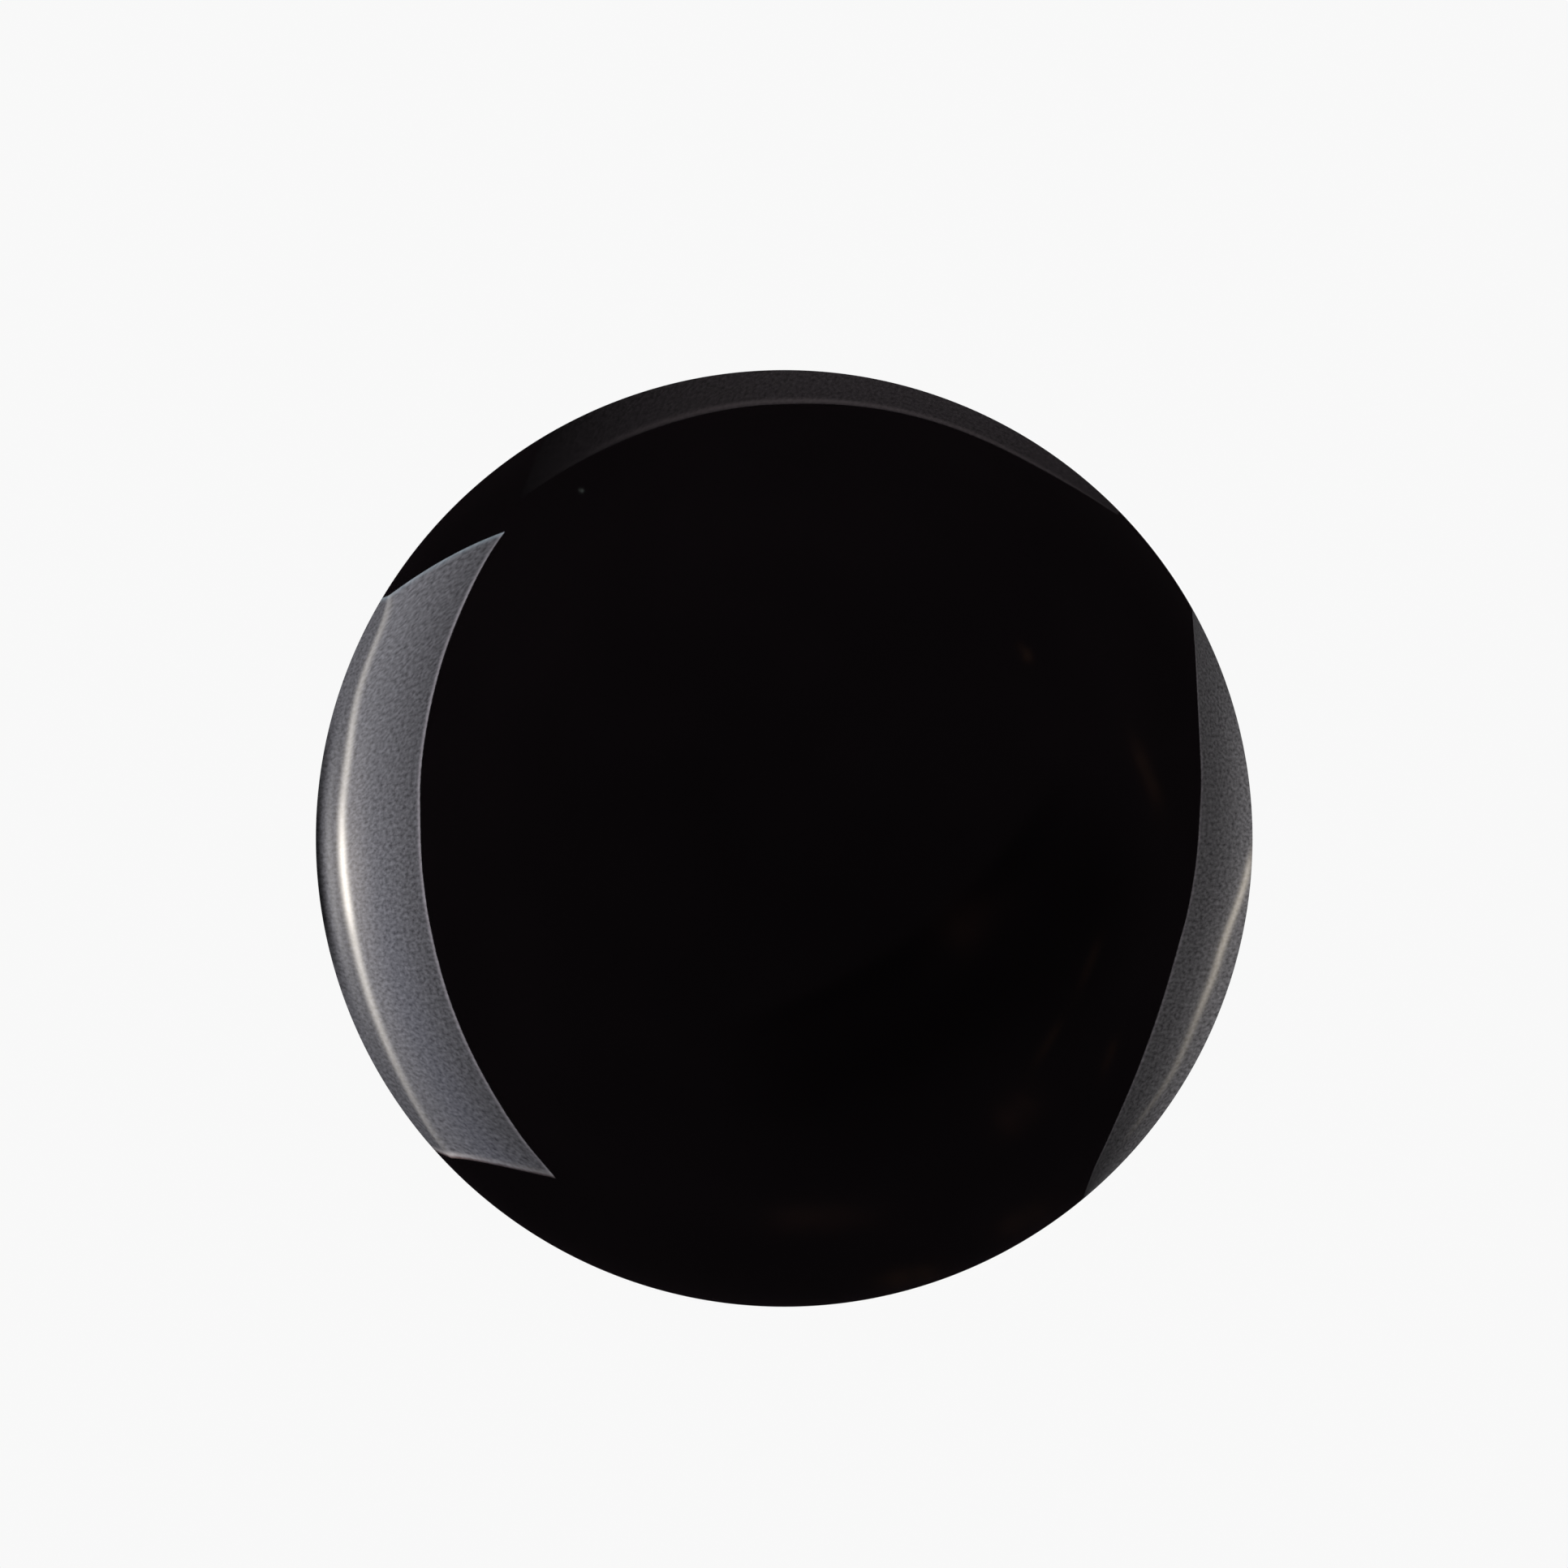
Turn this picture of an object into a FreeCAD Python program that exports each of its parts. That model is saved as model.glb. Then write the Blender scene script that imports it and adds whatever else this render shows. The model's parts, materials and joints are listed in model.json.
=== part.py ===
# Ball-mounted survey prism: a polished black steel ball, 38.1 mm across, with a glass corner-cube
# reflector set in it so that its optical centre lies at the ball's centre.
# Millimetres. Origin at the ball's centre. +Y runs along the optical axis, out of the aperture. +Z is up.
# The hemisphere towards -Y is unbroken. All turned parts are bodies of revolution about Y.
import FreeCAD, Part
import math
import os

V = FreeCAD.Vector
os.makedirs("parts", exist_ok=True)

# ---- driving dimensions ----
BALL_R = 19.05            # 1.5 inch precision ball
MOUTH_Y = 12.0            # plane where the ball is cut off for the aperture
BREAK = 0.15              # small edge breaks

THREAD_R = 13.20          # bezel's M26.4 x 0.5 thread, drawn as a plain cylinder
THREAD_GAP = 0.05         # radial running clearance
SHOULDER_Y = 8.60         # ledge at the bottom of the threaded counterbore
CELL_BORE_R = 11.0
CELL_BORE_FLOOR_Y = -7.40

SHIM_T = 0.20             # sets the optical centre to the ball's centre
FLANGE_R = 13.10
FLANGE_T = 0.80
CELL_R = 10.95
CELL_FLOOR_Y = -6.80
CELL_BORE_PRISM_R = 10.25
VENT_R = 0.75

PRISM_R = 10.0            # 20 mm corner cube
PRISM_H = 15.0            # front face to apex
GLASS_N = 1.5168          # borosilicate crown
PRISM_FRONT_Y = 9.89      # PRISM_H / GLASS_N in front of the ball's centre
PRISM_CHAMFER = 0.40
APEX_Y = PRISM_FRONT_Y - PRISM_H
COAT_T = 0.12             # mirror film and lacquer

SCREW_PITCH_R = 12.0
SCREW_R = 0.60            # M1.2
SCREW_HEAD_R = 1.02
SCREW_TIP_Y = 5.20
SCREW_ANGLES = (45.0, 135.0, 225.0, 315.0)

PAD_ANGLE = 14.0          # degrees of arc of each bonding pad
PAD_Y0, PAD_Y1 = 4.60, 8.40

SEAL_R, SEAL_WIRE_R = 10.42, 0.33

SLIP_IN_R, SLIP_OUT_R, SLIP_LIP_R = 9.30, 11.70, 11.90
SLIP_Y0, SLIP_Y1 = 10.30, 10.58

BEZEL_SPHERE_R = 18.95    # 0.1 mm under the ball, so it never touches a nest
BEZEL_FRONT_Y = 14.40
BEZEL_SKIRT_Y = 9.75
BEZEL_SEAT_Y = 10.60
BEZEL_SKIRT_IN_R = 11.75
BEZEL_GAP = 0.05          # seam between bezel and ball
APERTURE_R = 9.30
APERTURE_MOUTH_R = 11.0
NOTCH_W, NOTCH_D = 1.6, 0.8
PELLET_R = 0.45
DOT_R, DOT_PITCH_R = 0.35, 11.66

AXIS0 = V(0, 0, 0)
AXIS_Y = V(0, 1, 0)


def on_sphere(radius, y):
    return math.sqrt(radius * radius - y * y)


def wire_of(points):
    """Closed wire in the XY plane. A point is (r, y), or ('arc', radius, r, y) for an arc about the origin."""
    edges = []
    previous = None
    first = None
    for p in points + [points[0]]:
        if p[0] == "arc":
            radius, r, y = p[1], p[2], p[3]
            here = V(r, y, 0)
            a0 = math.atan2(previous.y, previous.x)
            a1 = math.atan2(here.y, here.x)
            am = (a0 + a1) / 2
            mid = V(radius * math.cos(am), radius * math.sin(am), 0)
            edges.append(Part.Arc(previous, mid, here).toShape())
        else:
            here = V(p[0], p[1], 0)
            if previous is not None and (here - previous).Length > 1e-7:
                edges.append(Part.LineSegment(previous, here).toShape())
        previous = here
        first = first or here
    return Part.Wire(edges)


def lathe(points, angle=360.0):
    return Part.Face(wire_of(points)).revolve(AXIS0, AXIS_Y, angle)


def solid_of(shape):
    solids = shape.Solids
    return solids[0] if len(solids) == 1 else Part.makeCompound(solids)


def about_y(shape, degrees):
    turned = shape.copy()
    turned.rotate(AXIS0, AXIS_Y, degrees)
    return turned


def at_pitch(radius, degrees):
    """Point on a pitch circle about Y. 0 degrees is +X, and 90 degrees is up, +Z."""
    a = math.radians(degrees)
    return V(radius * math.cos(a), 0, radius * math.sin(a))


def rod(radius, y0, y1, centre=V(0, 0, 0)):
    return Part.makeCylinder(radius, y1 - y0, V(centre.x, y0, centre.z), AXIS_Y)


def save(name, shape):
    shape = solid_of(shape)
    bad = [s for s in shape.Solids if not s.isValid() or s.Volume <= 0]
    print(f"{name:20s} solids {len(shape.Solids)} volume {shape.Volume:10.3f} mm3 valid {not bad}")
    shape.exportStep(f"parts/{name}.step")
    return shape


made = {}

# ---- ball body: polished sphere with a stepped bore ----
mouth_r = on_sphere(BALL_R, MOUTH_Y - BREAK)
bore_r = THREAD_R + THREAD_GAP
ball = lathe([
    (0, -BALL_R),
    ("arc", BALL_R, mouth_r, MOUTH_Y - BREAK),
    (mouth_r - 1.6 * BREAK, MOUTH_Y),
    (bore_r + BREAK, MOUTH_Y),
    (bore_r, MOUTH_Y - BREAK),
    (bore_r, SHOULDER_Y),
    (CELL_BORE_R, SHOULDER_Y),
    (CELL_BORE_R, CELL_BORE_FLOOR_Y + 0.8),
    (CELL_BORE_R - 0.8, CELL_BORE_FLOOR_Y),
    (0, CELL_BORE_FLOOR_Y),
])
for a in SCREW_ANGLES:
    ball = ball.cut(rod(SCREW_R + 0.02, SCREW_TIP_Y - 0.4, SHOULDER_Y + 1, at_pitch(SCREW_PITCH_R, a)))
made["ball_body"] = save("ball_body", ball)

# ---- axial shim ----
shim_y1 = SHOULDER_Y + SHIM_T
shim = lathe([(CELL_BORE_R + 0.05, SHOULDER_Y), (FLANGE_R, SHOULDER_Y), (FLANGE_R, shim_y1), (CELL_BORE_R + 0.05, shim_y1)])
for a in SCREW_ANGLES:
    shim = shim.cut(rod(SCREW_R + 0.1, SHOULDER_Y - 1, shim_y1 + 1, at_pitch(SCREW_PITCH_R, a)))
made["axial_shim"] = save("axial_shim", shim)

# ---- prism cell: flanged aluminium cup ----
flange_y1 = shim_y1 + FLANGE_T
cone_off = 0.5 * math.sqrt(3.0)         # the cup's cone stands 0.5 mm off the prism's edges
cone_y = lambda r: (r - cone_off) / math.sqrt(2.0) + APEX_Y
cell = lathe([
    (VENT_R, CELL_FLOOR_Y),
    (CELL_R - 0.8, CELL_FLOOR_Y),
    (CELL_R, CELL_FLOOR_Y + 0.8),
    (CELL_R, shim_y1),
    (FLANGE_R, shim_y1),
    (FLANGE_R, flange_y1 - 0.1),
    (FLANGE_R - 0.1, flange_y1),
    (CELL_BORE_PRISM_R, flange_y1),
    (CELL_BORE_PRISM_R, cone_y(CELL_BORE_PRISM_R)),
    (VENT_R, cone_y(VENT_R)),
])
for a in SCREW_ANGLES:
    c = at_pitch(SCREW_PITCH_R, a)
    cell = cell.cut(rod(SCREW_R + 0.05, shim_y1 - 1, flange_y1 + 1, c))
    sink = Part.makeCone(SCREW_R + 0.05, SCREW_HEAD_R + 0.04, SCREW_HEAD_R - SCREW_R,
                         V(c.x, flange_y1 - (SCREW_HEAD_R - SCREW_R), c.z), AXIS_Y)
    cell = cell.cut(sink)
made["prism_cell"] = save("prism_cell", cell)

# ---- four countersunk cell screws ----
screws = []
head_y = flange_y1 - 0.02
for a in SCREW_ANGLES:
    s = lathe([
        (0, SCREW_TIP_Y), (SCREW_R - 0.12, SCREW_TIP_Y), (SCREW_R, SCREW_TIP_Y + 0.12),
        (SCREW_R, head_y - (SCREW_HEAD_R - SCREW_R)), (SCREW_HEAD_R, head_y), (0, head_y),
    ])
    slot = Part.makeBox(2.4, 0.22, 0.26, V(-1.2, head_y - 0.20, -0.13))
    slot.rotate(AXIS0, AXIS_Y, 20.0 + 1.7 * a)
    s = s.cut(slot)
    s.translate(at_pitch(SCREW_PITCH_R, a))
    screws.append(solid_of(s))
made["cell_screws"] = save("cell_screws", Part.makeCompound(screws))

# ---- corner-cube prism: one edge stands straight up behind the front face ----
cube = Part.makeBox(40, 40, 40)
cube.Placement = FreeCAD.Placement(AXIS0, FreeCAD.Rotation(V(1, 1, 1), AXIS_Y))
edge = FreeCAD.Rotation(V(1, 1, 1), AXIS_Y).multVec(V(1, 0, 0))
cube.rotate(AXIS0, AXIS_Y, math.degrees(math.atan2(edge.z, edge.x)) - 90.0)
cube.translate(V(0, APEX_Y, 0))
blank = lathe([
    (0, APEX_Y - 1), (PRISM_R, APEX_Y - 1), (PRISM_R, PRISM_FRONT_Y - PRISM_CHAMFER),
    (PRISM_R - PRISM_CHAMFER, PRISM_FRONT_Y), (0, PRISM_FRONT_Y),
])
prism = blank.common(cube)
made["corner_cube_prism"] = save("corner_cube_prism", prism)

# ---- mirror coating: one film on each of the three back faces ----
films = []
for f in made["corner_cube_prism"].Faces:
    if f.Surface.TypeId == "Part::GeomPlane":
        n = f.normalAt(0, 0)
        if n.y < -0.5:
            films.append(f.extrude(n * COAT_T).Solids[0])
made["mirror_coating"] = save("mirror_coating", Part.makeCompound(films))

# ---- three silicone bonding pads between the glass and the cell, where the skirt is longest ----
pads = []
for a in (90.0, 210.0, 330.0):
    p = lathe([(PRISM_R, PAD_Y0), (CELL_BORE_PRISM_R, PAD_Y0), (CELL_BORE_PRISM_R, PAD_Y1), (PRISM_R, PAD_Y1)], PAD_ANGLE)
    # the profile starts at +X and turns towards -Z, so bring its middle to the wanted angle
    p.rotate(AXIS0, AXIS_Y, -a - PAD_ANGLE / 2)
    pads.append(solid_of(p))
made["bonding_pads"] = save("bonding_pads", Part.makeCompound(pads))

# ---- conical seat ring under the prism's three edges ----
seat_n = (1 / math.sqrt(3.0), -math.sqrt(2.0 / 3.0))


def seat(s, off):
    return (math.sqrt(2.0) * s + off * seat_n[0], APEX_Y + s + off * seat_n[1])


made["prism_seat_ring"] = save("prism_seat_ring", lathe([seat(3.2, 0.10), seat(3.2, 0.49), seat(5.3, 0.49), seat(5.3, 0.10)]))

# ---- front seal: round-section ring on the cell's flange, round the glass ----
seal = Part.makeTorus(SEAL_R, SEAL_WIRE_R, V(0, flange_y1 + SEAL_WIRE_R + 0.01, 0), AXIS_Y)
made["front_seal"] = save("front_seal", seal)

# ---- slip ring: captive in the bezel, it rides up and down with the bezel and doesn't turn ----
slip_mid = SLIP_Y0 + 0.05
made["slip_ring"] = save("slip_ring", lathe([
    (SLIP_IN_R, SLIP_Y0), (SLIP_OUT_R, SLIP_Y0), (SLIP_OUT_R, slip_mid), (SLIP_LIP_R, slip_mid + 0.02),
    (SLIP_LIP_R, slip_mid + 0.14), (SLIP_OUT_R, slip_mid + 0.16), (SLIP_OUT_R, SLIP_Y1), (SLIP_IN_R, SLIP_Y1),
]))

# ---- bezel ring: screws into the ball and carries on its spherical outline ----
top_y = BEZEL_FRONT_Y
band_top = top_y - BREAK
band_low = MOUTH_Y + BEZEL_GAP + BREAK
groove_r = SLIP_LIP_R + 0.08
bezel = lathe([
    (APERTURE_R, BEZEL_SEAT_Y),
    (APERTURE_R, BEZEL_SEAT_Y + 0.35),
    (APERTURE_MOUTH_R, top_y - BREAK),
    (APERTURE_MOUTH_R + BREAK, top_y),
    (on_sphere(BEZEL_SPHERE_R, band_top) - 1.8 * BREAK, top_y),
    (on_sphere(BEZEL_SPHERE_R, band_top), band_top),
    ("arc", BEZEL_SPHERE_R, on_sphere(BEZEL_SPHERE_R, band_low), band_low),
    (on_sphere(BEZEL_SPHERE_R, band_low) - BREAK, MOUTH_Y + BEZEL_GAP),
    (THREAD_R, MOUTH_Y + BEZEL_GAP),
    (THREAD_R, BEZEL_SKIRT_Y + 0.2),
    (THREAD_R - 0.2, BEZEL_SKIRT_Y),
    (BEZEL_SKIRT_IN_R, BEZEL_SKIRT_Y),
    (BEZEL_SKIRT_IN_R, SLIP_Y0 - 0.02),
    (groove_r, SLIP_Y0 + 0.02),
    (groove_r, SLIP_Y1 - 0.02),
    (BEZEL_SKIRT_IN_R, SLIP_Y1 + 0.005),
    (BEZEL_SKIRT_IN_R, BEZEL_SEAT_Y),
])
for a in (45.0, 135.0, 225.0, 315.0):
    notch = Part.makeBox(4.2, 3.0, NOTCH_W, V(10.2, top_y - NOTCH_D, -NOTCH_W / 2))
    notch.rotate(AXIS0, AXIS_Y, -a)
    bezel = bezel.cut(notch)
dot_at = at_pitch(DOT_PITCH_R, 90.0)
bezel = bezel.cut(rod(DOT_R, top_y - 0.20, top_y + 1, dot_at))
pellet_y = 11.30
pellet_hole = Part.makeCylinder(PELLET_R, 2.2, V(12.15, pellet_y, 0), V(1, 0, 0))
bezel = bezel.cut(pellet_hole)
made["bezel_ring"] = save("bezel_ring", bezel)

# ---- index dot: paint fill on the bezel's front land, at the top ----
made["index_dot"] = save("index_dot", rod(DOT_R - 0.01, top_y - 0.20, top_y - 0.03, dot_at))

# ---- thread lock pellet: nylon, pressed into the bezel's thread ----
pellet = Part.makeCylinder(PELLET_R - 0.01, 2.0, V(12.15, pellet_y, 0), V(1, 0, 0))
pellet = pellet.common(rod(THREAD_R - 0.01, pellet_y - 2, pellet_y + 2))
made["thread_lock_pellet"] = save("thread_lock_pellet", pellet)

# ---- report ----
names = list(made)
for i, a in enumerate(names):
    for b in names[i + 1:]:
        v = made[a].common(made[b]).Volume
        if v > 1e-4:
            print(f"overlap {a} / {b}: {v:.4f} mm3")
whole = Part.makeCompound([made[n] for n in names])
bb = whole.BoundBox
print("box", [round(x, 3) for x in (bb.XMin, bb.XMax, bb.YMin, bb.YMax, bb.ZMin, bb.ZMax)])
print("optical centre error mm", round(PRISM_FRONT_Y - PRISM_H / GLASS_N, 4))
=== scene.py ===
"""Ball-mounted survey prism: a black mirror-polished steel ball with a corner cube set in its far side."""
import json
import math

import bmesh
import bpy
from mathutils import Matrix, Vector, geometry

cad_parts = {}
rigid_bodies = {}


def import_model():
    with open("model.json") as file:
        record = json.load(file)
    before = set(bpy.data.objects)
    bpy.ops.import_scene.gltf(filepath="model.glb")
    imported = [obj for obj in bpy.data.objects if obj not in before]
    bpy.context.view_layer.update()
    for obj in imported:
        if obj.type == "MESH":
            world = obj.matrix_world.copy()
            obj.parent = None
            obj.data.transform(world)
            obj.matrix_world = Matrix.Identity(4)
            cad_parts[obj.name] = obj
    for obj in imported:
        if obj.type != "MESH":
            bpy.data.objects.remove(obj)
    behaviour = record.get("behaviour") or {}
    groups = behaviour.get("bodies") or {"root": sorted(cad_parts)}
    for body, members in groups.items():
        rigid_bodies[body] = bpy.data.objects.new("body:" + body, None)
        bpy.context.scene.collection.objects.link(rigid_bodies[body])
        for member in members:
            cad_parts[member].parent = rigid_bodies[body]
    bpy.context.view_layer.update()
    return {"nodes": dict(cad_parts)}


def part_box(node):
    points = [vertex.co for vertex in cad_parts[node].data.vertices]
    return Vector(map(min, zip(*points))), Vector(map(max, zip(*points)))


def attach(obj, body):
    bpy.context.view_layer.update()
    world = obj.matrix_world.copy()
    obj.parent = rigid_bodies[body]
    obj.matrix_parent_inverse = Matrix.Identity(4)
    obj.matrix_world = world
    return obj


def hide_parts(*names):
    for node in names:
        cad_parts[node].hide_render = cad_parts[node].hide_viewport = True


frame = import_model()
scene = bpy.context.scene
MM = 0.001

# ------------------------------------------------------------------ sizes, read from the CAD frame (mm)
ball_lo, ball_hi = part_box("ball_body")
BALL_R = round(-ball_lo.y / MM, 2)
MOUTH_Y = round(ball_hi.y / MM, 2)
bez_lo, bez_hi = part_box("bezel_ring")
BEZEL_Y0, BEZEL_Y1 = round(bez_lo.y / MM, 2), round(bez_hi.y / MM, 2)
BEZEL_R = 18.95
THREAD_R, BORE_R, PITCH, THREAD_DEPTH = 13.20, 13.25, 0.5, 0.27
SHOULDER_Y = 8.60
slip_lo, slip_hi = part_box("slip_ring")
seal_lo, seal_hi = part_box("front_seal")
prism_lo, prism_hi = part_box("corner_cube_prism")
PRISM_FRONT, APEX_Y, PRISM_R = round(prism_hi.y / MM, 3), round(prism_lo.y / MM, 3), 10.0
dot_lo, dot_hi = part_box("index_dot")

# ------------------------------------------------------------------ camera
FRAME_PX = 1932.0
LENS, SENSOR = 200.0, 36.0
HALF = SENSOR / 2 / LENS
BALL_PX, BALL_CX, BALL_CY = 577.15, 966.2, 1032.85    # where the ball's outline lies in the frame
CAM_D = BALL_R * MM / math.sin(math.atan(HALF * BALL_PX / (FRAME_PX / 2)))
CAM_Z = (BALL_CY - FRAME_PX / 2) / (FRAME_PX / 2) * HALF * CAM_D
CAM_X = -(BALL_CX - FRAME_PX / 2) / (FRAME_PX / 2) * HALF * CAM_D
cam_data = bpy.data.cameras.new("camera")
cam_data.lens, cam_data.sensor_width = LENS, SENSOR
cam_data.clip_start, cam_data.clip_end = 0.01, 30.0
cam = bpy.data.objects.new("camera", cam_data)
cam.location = (CAM_X, -CAM_D, CAM_Z)
cam.rotation_euler = (math.radians(90), 0, 0)
scene.collection.objects.link(cam)
scene.camera = cam
scene.view_settings.view_transform = "Standard"


# ------------------------------------------------------------------ node helpers
def lin(v):
    """A display value, 0 to 255, as linear light."""
    v /= 255.0
    return v / 12.92 if v <= 0.04045 else ((v + 0.055) / 1.055) ** 2.4


def linc(r, g, b):
    return (lin(r), lin(g), lin(b), 1.0)


class Tree:
    def __init__(self, tree):
        self.t = tree
        tree.nodes.clear()

    def node(self, kind, **kw):
        n = self.t.nodes.new(kind)
        for k, v in kw.items():
            setattr(n, k, v)
        return n

    def link(self, a, b):
        self.t.links.new(a, b)

    def put(self, socket, value):
        if isinstance(value, bpy.types.NodeSocket):
            self.link(value, socket)
        else:
            socket.default_value = value

    def math(self, op, a, b=0.0, c=None, clamp=False):
        n = self.node("ShaderNodeMath", operation=op, use_clamp=clamp)
        self.put(n.inputs[0], a)
        self.put(n.inputs[1], b)
        if c is not None:
            self.put(n.inputs[2], c)
        return n.outputs[0]

    def vmath(self, op, a, b):
        n = self.node("ShaderNodeVectorMath", operation=op)
        self.put(n.inputs[0], a)
        self.put(n.inputs[1], b)
        return n.outputs["Value"] if op in ("DOT_PRODUCT", "LENGTH", "DISTANCE") else n.outputs[0]

    def scale(self, vec, f):
        n = self.node("ShaderNodeVectorMath", operation="SCALE")
        self.put(n.inputs[0], vec)
        self.put(n.inputs["Scale"], f)
        return n.outputs[0]

    def ramp(self, fac, stops, interpolation="LINEAR"):
        n = self.node("ShaderNodeValToRGB")
        r = n.color_ramp
        r.interpolation = interpolation
        while len(r.elements) > 1:
            r.elements.remove(r.elements[-1])
        for i, (p, c) in enumerate(stops):
            e = r.elements[0] if i == 0 else r.elements.new(p)
            e.position = p
            e.color = c if isinstance(c, tuple) else (c, c, c, 1.0)
        self.put(n.inputs["Fac"], fac)
        return n.outputs["Color"]

    def noise(self, vec, scale, detail=2.0, rough=0.5, distortion=0.0):
        n = self.node("ShaderNodeTexNoise")
        self.put(n.inputs["Vector"], vec)
        n.inputs["Scale"].default_value = scale
        n.inputs["Detail"].default_value = detail
        n.inputs["Roughness"].default_value = rough
        n.inputs["Distortion"].default_value = distortion
        return n.outputs["Fac"]

    def voronoi(self, vec, scale, feature="F1", out="Distance", randomness=1.0):
        n = self.node("ShaderNodeTexVoronoi", feature=feature)
        self.put(n.inputs["Vector"], vec)
        n.inputs["Scale"].default_value = scale
        n.inputs["Randomness"].default_value = randomness
        return n.outputs[out]

    def mix(self, fac, a, b):
        n = self.node("ShaderNodeMix", data_type="RGBA")
        self.put(n.inputs[0], fac)
        self.put(n.inputs[6], a)
        self.put(n.inputs[7], b)
        return n.outputs[2]

    def map_range(self, v, a, b, c, d, smooth=False):
        n = self.node("ShaderNodeMapRange")
        if smooth:
            n.interpolation_type = "SMOOTHSTEP"
        self.put(n.inputs["Value"], v)
        for k, x in (("From Min", a), ("From Max", b), ("To Min", c), ("To Max", d)):
            n.inputs[k].default_value = x
        return n.outputs["Result"]

    def coords(self):
        return self.node("ShaderNodeTexCoord").outputs["Object"]

    def split(self, vec):
        n = self.node("ShaderNodeSeparateXYZ")
        self.put(n.inputs[0], vec)
        return n.outputs

    def join(self, x, y, z):
        n = self.node("ShaderNodeCombineXYZ")
        for s, v in zip(n.inputs, (x, y, z)):
            self.put(s, v)
        return n.outputs[0]

    def bump(self, height, strength, distance):
        n = self.node("ShaderNodeBump")
        self.put(n.inputs["Height"], height)
        n.inputs["Strength"].default_value = strength
        n.inputs["Distance"].default_value = distance
        return n.outputs["Normal"]


def material(name):
    m = bpy.data.materials.new(name)
    m.use_nodes = True
    t = Tree(m.node_tree)
    p = t.node("ShaderNodeBsdfPrincipled")
    out = t.node("ShaderNodeOutputMaterial")
    t.link(p.outputs[0], out.inputs["Surface"])
    return m, t, p


def about_axis(t):
    """Turning coordinates about the optical axis: radius, angle and height, from the row's own X, Y and Z."""
    x, y, z = t.split(t.coords())
    radius = t.math("SQRT", t.math("ADD", t.math("MULTIPLY", x, x), t.math("MULTIPLY", z, z)))
    return radius, t.math("ARCTAN2", z, x), y


# ------------------------------------------------------------------ materials of the object
def ball_material():
    m, t, p = material("black_hard_coating")
    co = t.coords()
    # a hard carbon coating on lapped steel: index near 2.1, almost no body colour
    p.inputs["IOR"].default_value = 2.1
    mottled = t.noise(co, 140.0, 4.0, 0.55)
    body = t.ramp(mottled, [(0.3, (0.0010, 0.0007, 0.0009, 1)), (0.7, (0.0015, 0.0011, 0.0013, 1))])
    # dust: very few motes, well under a tenth of a millimetre
    near = t.voronoi(co, 330.0)
    pick = t.split(t.voronoi(co, 330.0, out="Color"))[0]
    mote = t.math("MULTIPLY", t.math("LESS_THAN", near, 0.010), t.math("GREATER_THAN", pick, 0.93))
    p_col = t.mix(mote, body, (0.055, 0.045, 0.045, 1))
    t.put(p.inputs["Base Color"], p_col)
    # lapping leaves the polish a little uneven, and handling leaves faint smears
    smear = t.noise(t.vmath("MULTIPLY", co, (1.0, 1.0, 3.2)), 95.0, 5.0, 0.6, 0.8)
    fine = t.noise(co, 900.0, 2.0)
    rough = t.math("ADD", t.map_range(smear, 0.45, 0.75, 0.010, 0.030), t.math("MULTIPLY", fine, 0.008))
    rough = t.math("ADD", rough, t.math("MULTIPLY", mote, 0.6))
    # only the sphere is lapped: the seat, bore and thread are left as turned, with fine rings
    machined = t.map_range(t.vmath("LENGTH", co, (0, 0, 0)), (BALL_R - 0.05) * MM, (BALL_R - 0.02) * MM, 1.0, 0.0, True)
    radius, _, y = about_axis(t)
    rings = t.noise(t.join(radius, y, 0.0), 4200.0, 2.0)
    rough = t.math("ADD", rough, t.math("MULTIPLY", machined, t.map_range(rings, 0.3, 0.7, 0.30, 0.46)))
    t.put(p.inputs["Roughness"], rough)
    # lapping scratches, a few nanometres deep: long, thin and crossing
    s1 = t.noise(t.vmath("MULTIPLY", co, (1.0, 14.0, 0.25)), 2600.0, 2.0, 0.5, 0.3)
    s2 = t.noise(t.vmath("MULTIPLY", co, (0.25, 14.0, 1.0)), 2600.0, 2.0, 0.5, 0.3)
    t.put(p.inputs["Normal"], t.bump(t.math("ADD", s1, s2), 0.02, 0.0000025))
    return m


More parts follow.
